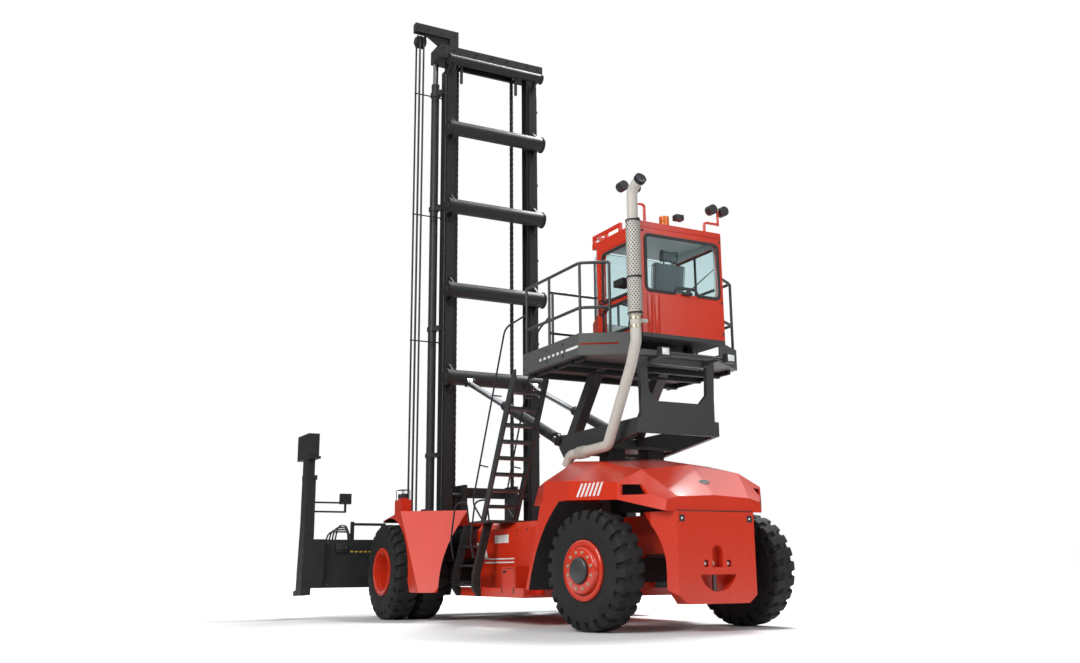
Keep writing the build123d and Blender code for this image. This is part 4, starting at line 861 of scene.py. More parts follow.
def buildSeat():
    welts, base = bmesh.new(), bmesh.new()
    for name, outline, half, lines in seatLook["pads"]:
        form = swellPad(padForm(outline, half))
        stitchPad(form, lines)
        pad = finishPiece(
            name, form, "seat_fabric", smoothAngle=seatLook["smooth"], replaced=["driver_seat"]
        )
        addWelts(welts, outline, half)
    finishPiece("seat_welts", welts, "hose_rubber")
    look = seatBaseLook
    rear, front, half, plate = look["rear"], look["front"], look["half"], look["plate"]
    low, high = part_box("cab_floor")[1].z, seatLook["pads"][0][1][0][1]
    addBox(base, (rear, -half, low), (front, half, low + plate))
    addBox(base, (rear, -half, high - plate), (front, half, high))
    (footX, footZ), (headX, headZ) = look["posts"]
    for y in look["postSides"]:
        addRod(base, (footX, y, footZ), (headX, y, headZ), *look["post"])
    rise = (high - low - 2 * plate) / look["folds"]
    for fold in range(look["folds"]):
        z = low + plate + fold * rise
        step = z + rise * look["foldShare"]
        for inset, start, end in ((look["wide"], z, step), (look["narrow"], step, z + rise)):
            addBox(base, (rear + inset, inset - half, start), (front - inset, half - inset, end))
    finishPiece("seat_base", base, "black_plastic", replaced=["driver_seat"], bevel=look["bevel"])
    print("driver's seat")


# Grey trim on the inner faces of the cab walls
cabInside = {
    "cab_right_panel": (0, 1, 0), "cab_left_frame": (0, -1, 0), "cab_door": (0, -1, 0),
    "cab_rear_panel": (1, 0, 0), "cab_nose_panel": (-1, 0, 0),
}
insideFacing = 0.6


def lineCab():
    for node, way in cabInside.items():
        mesh = nodes[node].data
        mesh.materials.append(materials["roof_lining"])
        for face in mesh.polygons:
            if face.normal.dot(Vector(way)) > insideFacing:
                face.material_index = 1
    print("cab lining")


# Stripe and dashes on the platform's edge
deckLow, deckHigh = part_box("platform_deck")
kickLook = {
    "stripe": 0.022, "proud": 0.003, "level": 0.125, "bend": -2.49, "tail": (-2.86, 0.63, 0.0),
    "from": 0.02, "to": 0.72,  # shares of the way from the bend to the tail
    "dashes": 7, "firstLength": 0.30, "length": 0.055, "height": 0.03, "start": 0.02, "pitch": 0.115,
    "shift": 0.25,
}


def buildKickMarks():
    look = kickLook
    edge, proud, level = deckHigh.y, look["proud"], deckLow.z + look["level"]
    red, white = bmesh.new(), bmesh.new()
    bend, tail = Vector((look["bend"], edge, 0)), Vector(look["tail"])
    outward = Vector((bend.y - tail.y, tail.x - bend.x, 0)).normalized()
    start, end = bend.lerp(tail, look["from"]), bend.lerp(tail, look["to"])
    for side in (1, -1):
        turn = Matrix.Diagonal((1, side, 1, 1))
        rows = rectangle(start, end, level, level + look["stripe"])
        addSlab(red, [turn @ Vector((spot.x, spot.y, z)) for spot, z in rows], turn @ (outward * proud))
        for number in range(look["dashes"]):
            x = bend.x + look["start"] + number * look["pitch"] + (look["shift"] if number else 0.0)
            length = look["length"] if number else look["firstLength"]
            corners = rectangle(x, x + length, level - look["height"], level)
            addSlab(white, [(px, side * edge, pz) for px, pz in corners], (0, side * proud, 0))
    finishPiece("kick_stripe", red, "red_paint")
    finishPiece("kick_dashes", white, "white_stripe")
    print("kick marks")


# Beams under the platform
beamLook = {
    "beams": ((-2.62, 0.50), (-2.20, 1.12), (-1.78, 1.12), (-1.22, 1.12)), "width": 0.03,  # x, half length
    "depth": (0.07, 0.001), "runners": (-1.10, 1.10), "runnerWidth": 0.02, "runnerDepth": (0.055, 0.002),
    "runnerFrom": -2.45, "runnerEnd": 0.03, "bevel": 0.005,
}


def buildDeckBeams():
    look = beamLook
    beams = bmesh.new()
    foot, head = (deckLow.z - drop for drop in look["depth"])
    for x, half in look["beams"]:
        addBox(beams, (x - look["width"], -half, foot), (x + look["width"], half, head))
    foot, head = (deckLow.z - drop for drop in look["runnerDepth"])
    end = deckHigh.x - look["runnerEnd"]
    for y in look["runners"]:
        addBox(
            beams, (look["runnerFrom"], y - look["runnerWidth"], foot), (end, y + look["runnerWidth"], head)
        )
    finishPiece("deck_beams", beams, "dark_paint", bevel=look["bevel"])
    print("deck beams")


# Feet of the railing
footLook = {
    "places": ((-2.10, 1.16), (-1.68, 1.16), (-1.04, 1.16)), "level": 0.07, "rise": 0.010, "radius": 0.045,
    "sides": 14, "bolts": (-0.03, 0.03), "bolt": 0.008, "sideBolts": (0.05, 0.20), "sideBolt": 0.010,
}


def buildRailingFeet():
    look = footLook
    feet = bmesh.new()
    for side in (1, -1):
        for x, y in look["places"]:
            base = Vector((x, side * y, deckLow.z + look["level"]))
            top = base + Vector((0, 0, look["rise"]))
            addRod(feet, base, top, look["radius"], look["sides"])
            for shift in look["bolts"]:
                addBolt(feet, top + Vector((shift, 0, 0)), (0, 0, 1), look["bolt"])
            for rise in look["sideBolts"]:
                addBolt(feet, (x, side * deckHigh.y, deckLow.z + rise), (0, side, 0), look["sideBolt"])
    finishPiece("railing_feet", feet, "dark_paint")
    print("railing feet")


# Exhaust trim
exhaustLook = {
    "x": -3.10, "y": 0.77, "sides": 40, "mouthPlace": (-3.29, 5.29), "mouthAxis": (-0.92, 0, 0.39),
    "shell": 0.0884, "hole": 0.0102, "holeSides": 8,
    "holes": (14, 42, 3.70, 4.78),  # count in a row, rows, z from and to
    "clamps": (3.66, 4.10, 4.81), "clamp": (0.0886, 0.093, 0.011),  # inner and outer radius, half height
    "lug": (0.13, 0.088, 0.015, 0.010),  # reach from and to, half width, half height
    "straps": (3.50, 3.60), "strap": (0.0665, 0.073, 0.016),
    "brackets": (  # x from the pipe's axis
        ((0.085, 0.70, 4.09), (0.20, 0.735, 4.115)), ((0.12, 0.70, 4.045), (0.33, 0.86, 4.125)),
    ),
    "mouth": ((0.066, -0.030), (0.074, -0.030), (0.076, 0.022), (0.070, 0.026), (0.0, 0.014)),
    "mouthSides": 32,
}


def buildExhaustTrim():
    look = exhaustLook
    x, y = look["x"], look["y"]
    middle = Vector((x, y, 0))
    holes, clamps, straps = bmesh.new(), bmesh.new(), bmesh.new()
    # flat dark discs on the shield paint the shade seen through its holes
    count, rows, start, end = look["holes"]
    for row in range(rows):
        z = start + (end - start) * row / (rows - 1)
        for number in range(count):
            angle = math.tau * (number + 0.5 * (row % 2)) / count
            out = Vector((math.cos(angle), math.sin(angle), 0))
            place = axisFrame(middle + out * look["shell"] + Vector((0, 0, z)), out, (0, 0, 1))
            bmesh.ops.create_circle(
                holes, cap_ends=True, segments=look["holeSides"], radius=look["hole"], matrix=place
            )
    finishPiece("shield_hole_shade", holes, "black_plastic")
    upright = axisFrame(middle, (0, 0, 1))
    inner, outer, tall = look["clamp"]
    far, near, wide, high = look["lug"]
    for z in look["clamps"]:
        addTurned(clamps, ringProfile(inner, outer, z - tall, z + tall), upright, look["sides"])
        addBox(clamps, (x - far, y - wide, z - high), (x - near, y + wide, z + high))
    for low, high in look["brackets"]:
        addBox(clamps, (x + low[0], *low[1:]), (x + high[0], *high[1:]))
    mouthX, mouthZ = look["mouthPlace"]
    mouth = axisFrame((mouthX, y, mouthZ), look["mouthAxis"])
    addTurned(clamps, look["mouth"], mouth, look["mouthSides"])
    finishPiece("exhaust_clamps", clamps, "dark_paint")
    inner, outer, tall = look["strap"]
    for z in look["straps"]:
        addTurned(straps, ringProfile(inner, outer, z - tall, z + tall), upright, look["sides"])
    finishPiece("exhaust_straps", straps, "bolt_zinc")
    print("exhaust trim")


# Hood trim
hoodLook = {
    "bars": 6, "from": (-2.42, 1.53), "pitch": 0.062, "width": 0.030, "rise": 0.155, "lean": -0.055,
    "cast": 2.0, "proud": 0.003,
    "opening": (-3.28, 0.0, 3.0), "openingLift": 0.001, "openingSquash": 0.55, "openingDepth": 0.006,
    "openingRadii": (0.075, 0.070), "openingSides": 24,
    "seal": (0.006, 0.05, 0.53, 0.003, 0.012), "sealBevel": 0.003,  # x from and to, half, under, over
}


def buildHoodTrim():
    look = hoodLook
    hood = nodes["hood"].data
    surface = BVHTree.FromPolygons(
        [spot.co for spot in hood.vertices], [list(face.vertices) for face in hood.polygons]
    )
    bars, opening, seal = bmesh.new(), bmesh.new(), bmesh.new()
    first, low = look["from"]
    for side in (1, -1):
        for number in range(look["bars"]):
            x = first - number * look["pitch"]
            spots = []
            foot = [(x, low), (x - look["width"], low)]
            head = [(px + look["lean"], low + look["rise"]) for px, _ in reversed(foot)]
            for px, pz in foot + head:
                start = Vector((px, side * look["cast"], pz))
                spot, normal = surface.ray_cast(start, Vector((0, -side, 0)))[:2]
                spots.append(spot)
            addSlab(bars, spots, normal * look["proud"])
    finishPiece("hood_bars", bars, "white_stripe")
    # a flat dark disc on the hood paints the shade seen inside the hole in its top
    spot, normal = surface.ray_cast(Vector(look["opening"]), Vector((0, 0, -1)))[:2]
    place = axisFrame(spot + normal * look["openingLift"], normal, (0, 0, 1))
    foot, head = look["openingRadii"]
    bmesh.ops.create_cone(
        opening, cap_ends=True, segments=look["openingSides"], radius1=foot, radius2=head,
        depth=look["openingDepth"], matrix=place @ Matrix.Diagonal((look["openingSquash"], 1.0, 1.0, 1.0)),
    )
    finishPiece("hood_hole_shade", opening, "black_plastic")
    low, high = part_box("counterweight")
    start, end, half, under, over = look["seal"]
    addBox(seal, (low.x + start, -half, high.z - under), (low.x + end, half, high.z + over))
    finishPiece("hood_seal", seal, "hose_rubber", bevel=look["sealBevel"])
    print("hood trim")


# Counterweight trim, with x measured from the counterweight's rear face
weightLook = {
    "lamp": (0.475, 1.2525), "socket": (0.16, 0.7525),  # y and z
    "lens": (-0.003, 0.004, 0.013, 20), "plug": (0.030, 0.045, 0.018, 16),  # from, to, radius, sides
    "frame": (0.034, 0.036), "lensBevel": 0.001,  # half width, half height
    "frameShape": (0.008, 0.008, 0.005),  # corner radius, width, depth
    "socketBack": (0.050, 0.058, 0.028, 0.036),  # x from and to, half width, half height
    "eye": (0.055, 0.045, 0.752), "eyeRing": (0.022, 0.034, -0.007, 0.007), "eyeSides": 24,
    "shank": (0.711, 0.724, 0.012, 12), "eyeBevel": 0.002,  # z from and to, radius, sides
}


def buildCounterweightTrim():
    look = weightLook
    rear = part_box("counterweight")[0].x
    lens, dark, eye = bmesh.new(), bmesh.new(), bmesh.new()
    y, z = look["lamp"]
    socketY, socketZ = look["socket"]
    wide, tall = look["frame"]
    near, far, backWide, backTall = look["socketBack"]
    for side in (1, -1):
        start, end, radius, sides = look["lens"]
        addRod(lens, (rear + start, side * y, z), (rear + end, side * y, z), radius, sides)
        corners = [(rear, side * y + dy, z + dz) for dy, dz in rectangle(-wide, wide, -tall, tall)]
        addFrame(dark, corners, (-1, 0, 0), *look["frameShape"])
        start, end, radius, sides = look["plug"]
        across = side * socketY
        addRod(lens, (rear + start, across, socketZ), (rear + end, across, socketZ), radius, sides)
        addBox(
            dark, (rear + near, across - backWide, socketZ - backTall),
            (rear + far, across + backWide, socketZ + backTall),
        )
    finishPiece("rear_lenses", lens, "lamp_lens", bevel=look["lensBevel"])
    finishPiece("rear_lamp_frames", dark, "black_plastic")
    back, y, z = look["eye"]
    place = axisFrame((rear + back, y, z), (0, 1, 0))
    addTurned(eye, ringProfile(*look["eyeRing"]), place, look["eyeSides"])
    low, high, radius, sides = look["shank"]
    addRod(eye, (rear + back, y, low), (rear + back, y, high), radius, sides)
    finishPiece("tow_eye", eye, "bolt_zinc", bevel=look["eyeBevel"])
    print("counterweight trim")


# Marks, bolts and locker fittings on the sides
sideLook = {
    "patches": (  # x from and to, z from and to
        (0.60, -0.33, 0.838, 0.856), (0.60, -0.33, 0.790, 0.808), (0.27, -0.16, 1.06, 1.17),
    ),
    "bars": ((0.58, 0.10), (0.74, 0.06)), "barRange": (0.84, 1.08),  # x, width; z from and to
    "barLean": 0.14, "proud": 0.003,
    "bolts": (-1.02, -0.72, -0.42, 0.02, 0.46), "boltLevel": 1.215, "bolt": 0.011,
}
lockerLook = {
    "sunk": 0.01, "proud": 0.006, "hinges": (-0.90, -0.57),
    "catch": (-0.66, -0.58, 0.655, 0.69),  # x from and to, z from and to
    "hinge": (0.40, 0.47, 0.012, 10),  # z from and to, radius, sides
    "frame": (-0.92, -0.55, 0.44, 0.72), "frameShape": (0.02, 0.006, 0.002),
}


def addLockerFittings(bm, side):
    look = lockerLook
    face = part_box("side_sills")[1].y - look["sunk"]
    outer = side * (face + look["proud"])
    start, end, low, high = look["catch"]
    addBox(bm, (start, side * face, low), (end, outer, high))
    low, high, radius, sides = look["hinge"]
    for x in look["hinges"]:
        addRod(bm, (x, outer, low), (x, outer, high), radius, sides)
    corners = [(x, side * face, z) for x, z in rectangle(*look["frame"])]
    addFrame(bm, corners, (0, side, 0), *look["frameShape"])


def buildSideMarks():
    look = sideLook
    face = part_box("side_boxes")[1].y
    white, dark, bolts = bmesh.new(), bmesh.new(), bmesh.new()
    low, high = look["barRange"]
    lean = look["barLean"]
    patches = [rectangle(*patch) for patch in look["patches"]]
    for x, width in look["bars"]:
        patches.append([(x, low), (x - width, low), (x - width + lean, high), (x + lean, high)])
    for side in (1, -1):
        for corners in patches:
            addSlab(white, [(x, side * face, z) for x, z in corners], (0, side * look["proud"], 0))
        for x in look["bolts"]:
            addBolt(bolts, (x, side * face, look["boltLevel"]), (0, side, 0), look["bolt"])
        addLockerFittings(dark, side)
    finishPiece("side_marks", white, "white_stripe")
    finishPiece("locker_fittings", dark, "black_plastic")
    finishPiece("side_bolts", bolts, "steel")
    print("side marks")


# Filler caps and their guard
fillerLook = {
    "caps": (2.0, 2.13), "y": 1.70, "sunk": 0.062, "sides": 20, "bevel": 0.003,
    "cap": ((0.0, 0.068), (0.044, 0.068), (0.053, 0.058), (0.053, 0.0), (0.0, 0.0)),
    "box": ((1.66, 1.36, 1.50), (1.84, 1.50, 1.60)),
    "hoops": (1.64, 1.76), "hoop": (1.93, 2.19, 1.74, 1.90),  # x from and to, z from and to
    "wire": 0.006, "bend": 0.03, "bars": (1.96, 2.16), "barSides": 8,
}


def buildFillers():
    look = fillerLook
    caps, guard = bmesh.new(), bmesh.new()
    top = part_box("filler_box")[1].z
    for x in look["caps"]:
        place = axisFrame((x, look["y"], top - look["sunk"]), (0, 0, 1))
        addTurned(caps, look["cap"], place, look["sides"])
    addBox(caps, *look["box"])
    finishPiece("filler_caps", caps, "black_plastic", bevel=look["bevel"])
    start, end, low, high = look["hoop"]
    for y in look["hoops"]:
        route = [(start, y, low), (start, y, high), (end, y, high), (end, y, low)]
        addPipe(guard, route, look["wire"], look["bend"])
    first, last = look["hoops"]
    for x in look["bars"]:
        addRod(guard, (x, first, high), (x, last, high), look["wire"], look["barSides"])
    finishPiece("filler_guard", guard, "dark_paint")
    print("fillers")


# Rails of the lower steps, treads and handrails of the ladder
stepRailLook = {
    "places": (0.12, 0.80), "radius": 0.013, "bend": 0.07,
    "route": ((1.16, 1.33), (1.20, 1.66), (1.38, 1.62), (1.445, 1.10), (1.40, 0.86)),  # y and z
}
treadLook = {
    "foot": (0.02, 1.33), "run": -0.955, "climb": 1.90, "steps": 9, "half": 0.088,
    "plate": (0.0155, 0.022), "rib": (0.006, 0.027),  # underside, top; half width, top
    "ribs": (-0.06, -0.02, 0.02, 0.06), "margins": (0.13, 0.04), "ribMargins": (0.14, 0.05),
}
handrailLook = {
    "margins": (0.115, 0.015), "radius": 0.013, "bend": 0.10, "endGap": 0.02,
    "foot": (0.06, 1.40), "low": (0.34, 1.62), "high": (-0.70, 3.92), "end": (-1.04, 4.05),
    "ties": (0.22, 0.62), "tie": (0.27, 0.05, 0.010, 8),  # reach, drop, radius, sides
}


def buildStepTrim():
    look = stepRailLook
    rails, treads, handrails = bmesh.new(), bmesh.new(), bmesh.new()
    for x in look["places"]:
        addPipe(rails, [(x, y, z) for y, z in look["route"]], look["radius"], look["bend"])
    finishPiece("step_rails", rails, "dark_paint")

    look = treadLook
    low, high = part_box("upper_ladder")
    under, over = look["plate"]
    ribHalf, ribTop = look["rib"]
    for step in range(1, look["steps"]):
        share = step / look["steps"]
        x, z = look["foot"][0] + look["run"] * share, look["foot"][1] + look["climb"] * share
        near, far = low.y + look["margins"][0], high.y - look["margins"][1]
        addBox(treads, (x - look["half"], near, z + under), (x + look["half"], far, z + over))
        near, far = low.y + look["ribMargins"][0], high.y - look["ribMargins"][1]
        for shift in look["ribs"]:
            spot = x + shift
            addBox(treads, (spot - ribHalf, near, z + over), (spot + ribHalf, far, z + ribTop))
    finishPiece("ladder_treads", treads, "black_plastic")

    look = handrailLook
    (lowX, lowZ), (highX, highZ) = look["low"], look["high"]
    reach, drop, radius, sides = look["tie"]
    for y in (low.y + look["margins"][0], high.y - look["margins"][1]):
        end = min(y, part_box("platform_railings")[1].y - look["endGap"])
        corners = (*look["foot"], y), (lowX, lowZ, y), (highX, highZ, y), (*look["end"], end)
        addPipe(handrails, [(x, across, z) for x, z, across in corners], look["radius"], look["bend"])
        for share in look["ties"]:
            x, z = lowX + (highX - lowX) * share, lowZ + (highZ - lowZ) * share
            addRod(handrails, (x, y, z), (x - reach, y, z - drop), radius, sides)
    finishPiece("ladder_handrails", handrails, "dark_paint")
    print("step trim")


# Mast trim
tubeLook = {
    "x": 2.337, "end": 0.91, "heights": (3.770, 5.243, 6.700, 8.111),
    "bolts": (0.095, 10, 0.010),  # circle, count, size
    "cap": (0.055, 0.062, 0.012, 24),  # face and foot radius, rise, sides
}
chainLook = {
    "x": 2.817, "y": 0.538, "from": 0.80, "to": 9.50, "pitch": 0.050, "half": 0.0255,
    "links": ((0.020, 0.92), (0.024, 1.22)),  # half width and share of the pitch, inner and outer link
}
guideLook = {
    "x": 2.688, "heights": (8.78, 6.58, 4.40), "from": 0.868, "hoses": (1.275, 1.345), "reach": 0.05,
    "rod": (0.011, 12), "flange": (0.884, 0.034, 14),  # radius, sides; y to, radius, sides
}
liftPipeLook = {
    "y": 0.885, "route": ((2.40, 1.15), (2.50, 1.45), (2.50, 9.15), (2.60, 9.22)), "radius": 0.011,
    "bend": 0.06, "clips": (1.9, 2.9, 4.5, 6.0, 7.4, 8.8), "clipX": 2.50, "clip": (0.02, 0.016, 0.02),
    "bevel": 0.002,
}
crossheadLook = {
    "bolts": (-0.93, -0.72, -0.30, 0.0, 0.30, 0.72, 0.93), "rows": (9.53, 9.67), "bolt": 0.013,
    "armBolts": (0.70, 0.95, 1.20, 1.40), "arm": (2.542, 9.96), "armBolt": 0.012,
    "drum": (2.688, 0, 9.76), "flangeShift": 0.022,
    "flange": (0.055, 0.112, 0.003, 32),  # inner and outer radius, half width, sides
}


def buildMastTrim():
    bolts, links = bmesh.new(), bmesh.new()
    circle, count, size = tubeLook["bolts"]
    face, foot, rise, sides = tubeLook["cap"]
    chainX, pitch = chainLook["x"], chainLook["pitch"]
    for side in (1, -1):
        for z in tubeLook["heights"]:
            place = axisFrame((tubeLook["x"], 0, z), (0, 1, 0))
            rim = side * tubeLook["end"]
            addBoltRing(bolts, place, circle, rim, side, count, size)
            top = rim + side * rise
            addTurned(bolts, ((0.0, top), (face, top), (foot, rim), (0.0, rim)), place, sides)
        for number in range(round((chainLook["to"] - chainLook["from"]) / pitch)):
            wide, share = chainLook["links"][number % 2]
            centre = chainX, side * chainLook["y"], chainLook["from"] + number * pitch
            addBlock(links, centre, (chainLook["half"], wide, 0.5 * pitch * share))
    finishPiece("tube_bolts", bolts, "dark_paint", "outer_mast")
    finishPiece("chain_links", links, "hose_rubber", "inner_mast")
    print("mast tubes and chains")


def buildMastPipes():
    guides, pipes, head = bmesh.new(), bmesh.new(), bmesh.new()
    look = guideLook
    x, start = look["x"], look["from"]
    end, radius, sides = look["flange"]
    for z in look["heights"]:
        addRod(guides, (x, start, z), (x, look["hoses"][1] + look["reach"], z), *look["rod"])
        addRod(guides, (x, start, z), (x, end, z), radius, sides)
    finishPiece("hose_guides", guides, "dark_paint", "outer_mast")

    look = liftPipeLook
    for side in (1, -1):
        y = side * look["y"]
        addPipe(pipes, [(x, y, z) for x, z in look["route"]], look["radius"], look["bend"])
        for z in look["clips"]:
            addBlock(pipes, (look["clipX"], y, z), look["clip"])
    finishPiece("lift_pipes", pipes, "grey_paint", "outer_mast", bevel=look["bevel"])

    look = crossheadLook
    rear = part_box("mast_crosshead")[0].x
    for y in look["bolts"]:
        for z in look["rows"]:
            addBolt(head, (rear, y, z), (-1, 0, 0), look["bolt"])
    x, z = look["arm"]
    for y in look["armBolts"]:
        addBolt(head, (x, y, z), (-1, 0, 0), look["armBolt"])
    drum = axisFrame(look["drum"], (0, 1, 0))
    inner, outer, half, sides = look["flange"]
    for y in guideLook["hoses"]:
        for side in (-1, 1):
            spot = y + side * look["flangeShift"]
            addTurned(head, ringProfile(inner, outer, spot - half, spot + half), drum, sides)
    finishPiece("crosshead_bolts", head, "dark_paint", "inner_mast")
    print("mast pipes")


# Spreader trim
spreaderLook = {
    "rear": 2.952, "top": 1.18, "dotProud": 0.003,
    "dots": (10, 2.22, 0.075), "dot": (0.045, 0.985, 0.022),  # count, first y, pitch; length, foot, height
    "pipes": (  # y and height of the bend, and x, of each pipe over the beam
        (2.52, 1.30, 2.99), (2.46, 1.335, 3.03), (2.40, 1.37, 3.07), (2.34, 1.405, 3.11),
    ),
    "pipe": (0.013, 0.085), "pipeSunk": 0.002,  # radius, bend
    "pipeEnds": (0.08, 0.04, 2.23, 2.21),  # foot and bend past y, y of the other bend and foot
    "rearBlock": (2.28, 2.46, 0.99, 1.12),  # y from and to, z from and to
    "rearBlockDepth": (0.05, 0.0005),
    "topBlock": (1.30, 1.52), "topBlockX": (2.97, 3.17), "topBlockRise": 0.09, "blockBevel": 0.005,
    "fittings": 4, "fitting": (2.305, 0.045, 1.055, 0.013),  # first y, pitch, level, size
    "plugs": (2.99, 0.05, 1.41), "plug": (0.025, 0.012, 10),  # first x, pitch, y; rise, radius, sides
    "bolts": (0.62, 1.00, 1.80, 2.58), "boltRows": (0.50, 1.13), "bolt": 0.012,
}
postLook = {
    "headX": 2.75, "headBolts": (2.87, 2.965), "headRows": (2.47, 2.60, 2.73), "headBolt": 0.010,
    "footPlace": (2.86, 3.0), "footRows": (0.52, 0.72, 0.92, 1.10), "footBolt": 0.014,
    "lens": (2.929, 2.936, 2.35, 1.80),  # x from and to, y, z
    "lensRadius": 0.062, "lensSides": 28, "lensBevel": 0.002,
}


def addBeamBlocks(block, fittings, side):
    look = spreaderLook
    rear, top = look["rear"], look["top"]
    near, far, low, high = look["rearBlock"]
    start, end = sorted((side * near, side * far))
    back, gap = look["rearBlockDepth"]
    addBox(block, (rear - back, start, low), (rear - gap, end, high))
    start, end = sorted(side * y for y in look["topBlock"])
    front, over = look["topBlockX"], top + look["topBlockRise"]
    addBox(block, (front[0], start, top), (front[1], end, over))
    first, pitch, level, size = look["fitting"]
    plugX, plugPitch, plugY = look["plugs"]
    rise, radius, sides = look["plug"]
    for number in range(look["fittings"]):
        addBolt(fittings, (rear - back, side * (first + pitch * number), level), (-1, 0, 0), size)
        spot = plugX + plugPitch * number, side * plugY
        addRod(fittings, (*spot, over), (*spot, over + rise), radius, sides)
    for y in look["bolts"]:
        for z in look["boltRows"]:
            addBolt(fittings, (rear, side * y, z), (-1, 0, 0), look["bolt"])


def buildBeamTrim():
    look = spreaderLook
    rear = look["rear"]
    dots, pipes, block, fittings = bmesh.new(), bmesh.new(), bmesh.new(), bmesh.new()
    count, first, pitch = look["dots"]
    length, low, height = look["dot"]
    foot = look["top"] - look["pipeSunk"]
    start, bend, end, endFoot = look["pipeEnds"]
    for side in (1, -1):
        for number in range(count):
            y = first - number * pitch
            corners = [(rear, side * py, pz) for py, pz in rectangle(y, y - length, low, low + height)]
            addSlab(dots, corners, (-look["dotProud"], 0, 0))
        for y, z, x in look["pipes"]:
            route = (y + start, foot), (y + bend, z), (end, z), (endFoot, foot)
            addPipe(pipes, [(x, side * py, pz) for py, pz in route], *look["pipe"])
        addBeamBlocks(block, fittings, side)
    finishPiece("beam_dots", dots, "yellow_stripe", "spreader")
    finishPiece("beam_pipes", pipes, "hose_rubber", "spreader")
    finishPiece("beam_manifolds", block, "dark_paint", "spreader", bevel=look["blockBevel"])
    finishPiece("beam_fittings", fittings, "steel", "spreader")
    print("beam trim")


def buildPostTrim():
    look = postLook
    footX, footY = look["footPlace"]
    start, end, lensY, lensZ = look["lens"]
    for name, side in (("left", 1), ("right", -1)):
        bolts, lens = bmesh.new(), bmesh.new()
        for y in look["headBolts"]:
            for z in look["headRows"]:
                addBolt(bolts, (look["headX"], side * y, z), (-1, 0, 0), look["headBolt"])
        for z in look["footRows"]:
            addBolt(bolts, (footX, side * footY, z), (0, side, 0), look["footBolt"])
        finishPiece(f"head_bolts_{name}", bolts, "dark_paint", f"telescopic_arm_{name}")
        spot = side * lensY, lensZ
        addRod(lens, (start, *spot), (end, *spot), look["lensRadius"], look["lensSides"])
        finishPiece(
            f"post_lens_{name}", lens, "lamp_lens", f"telescopic_arm_{name}", bevel=look["lensBevel"]
        )
    print("post trim")


# Lamps
lampLook = {
    "work": (-3.28, 0.48, 3.195), "workDepth": (0.006, 0.0005),
    "workLens": (0.050, 0.042), "workFrame": (0.064, 0.054),  # half width, half height
    "workShape": (0.012, 0.013, 0.009),  # corner radius, width, depth
    "roof": ((-2.89, -0.68, 5.23), (-2.91, 0.69, 5.32)), "spread": 0.09, "body": 0.095, "sides": 32,
    "shell": (
        (0.050, -0.049), (0.0645, -0.040), (0.0645, 0.060), (0.058, 0.060), (0.058, 0.056),
        (0.0625, 0.050), (0.0625, -0.0455),
    ),
    "lens": (0.0552, 0.059, 0.056, 28), "back": (-0.049, -0.0452, 0.052, 24),  # from, to, radius, sides
    "horn": ((-2.99, -0.075, 4.98), (-2.90, 0.04, 5.05)), "bevel": 0.002,
    "beaconFoot": (
        (0.0755, 0.0), (0.079, 0.004), (0.077, 0.038), (0.064, 0.046), (0.0625, 0.042), (0.0755, 0.036),
    ),
}
lampSpots = [
    (x, y + side * lampLook["spread"], z) for x, y, z in lampLook["roof"] for side in (1, -1)
]


def buildLamps():
    look = lampLook
    lens, shells, frames = bmesh.new(), bmesh.new(), bmesh.new()
    x, y, z = look["work"]
    wide, tall = look["workLens"]
    proud, gap = look["workDepth"]
    frameWide, frameTall = look["workFrame"]
    for side in (1, -1):
        across = side * y
        addBox(lens, (x - proud, across - wide, z - tall), (x - gap, across + wide, z + tall))
        outline = rectangle(-frameWide, frameWide, -frameTall, frameTall)
        addFrame(frames, [(x, across + dy, z + dz) for dy, dz in outline], (-1, 0, 0), *look["workShape"])
    for spot in lampSpots:
        addTurned(shells, look["shell"], axisFrame(spot, (1, 0, 0)), look["sides"])
        for bm, (start, end, radius, sides) in ((lens, look["lens"]), (shells, look["back"])):
            addRod(bm, (spot[0] + start, *spot[1:]), (spot[0] + end, *spot[1:]), radius, sides)
    addBox(frames, *look["horn"])
    low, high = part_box("beacon")
    beacon = axisFrame(((low.x + high.x) / 2, (low.y + high.y) / 2, low.z), (0, 0, 1))
    addTurned(frames, look["beaconFoot"], beacon, look["sides"])
    finishPiece("lamp_lenses", lens, "lamp_lens", bevel=look["bevel"])
    finishPiece("lamp_shells", shells, "black_plastic")
    finishPiece("lamp_frames", frames, "black_plastic", bevel=look["bevel"])
    print("lamps")


# Red arms under the roof lamps
def paintLampArms():
    mesh = nodes["roof_lamps"].data
    mesh.materials.append(materials["red_paint"])
    for face in mesh.polygons:
        if min((face.center - Vector(spot)).length for spot in lampSpots) > lampLook["body"]:
            face.material_index = 1
    print("lamp arms")


# Painted shade: dark paint on the inner faces of the wheel arches, standing in for the shadow in the wheel wells
archShadeLook = {"axles": {"rear_fenders": "rear_left_spin", "front_fenders": "front_left_spin"}, "facing": 0.55}


def paintArchShade():
    for node, joint in archShadeLook["axles"].items():
        mesh = nodes[node].data
        mesh.materials.append(materials["dark_paint"])
        x, _, z = joints[joint]["pos_m"]
        for face in mesh.polygons:
            inward = Vector((x - face.center.x, 0, z - face.center.z))
            # faces turned towards the axle get the painted shade
            if inward.normalized().dot(face.normal) > archShadeLook["facing"]:
                face.material_index = 1
    print("arches")


buildTyres()
buildWheelTrim()
buildSeals()
buildDoorHandle()
buildLining()
buildPanelRibs()
buildRearWiper()
buildSeat()
lineCab()
buildKickMarks()
buildDeckBeams()
buildRailingFeet()
buildExhaustTrim()
buildHoodTrim()
buildCounterweightTrim()
buildSideMarks()
buildFillers()
buildStepTrim()
buildMastTrim()
buildMastPipes()
buildBeamTrim()
buildPostTrim()
buildLamps()
paintLampArms()
paintArchShade()


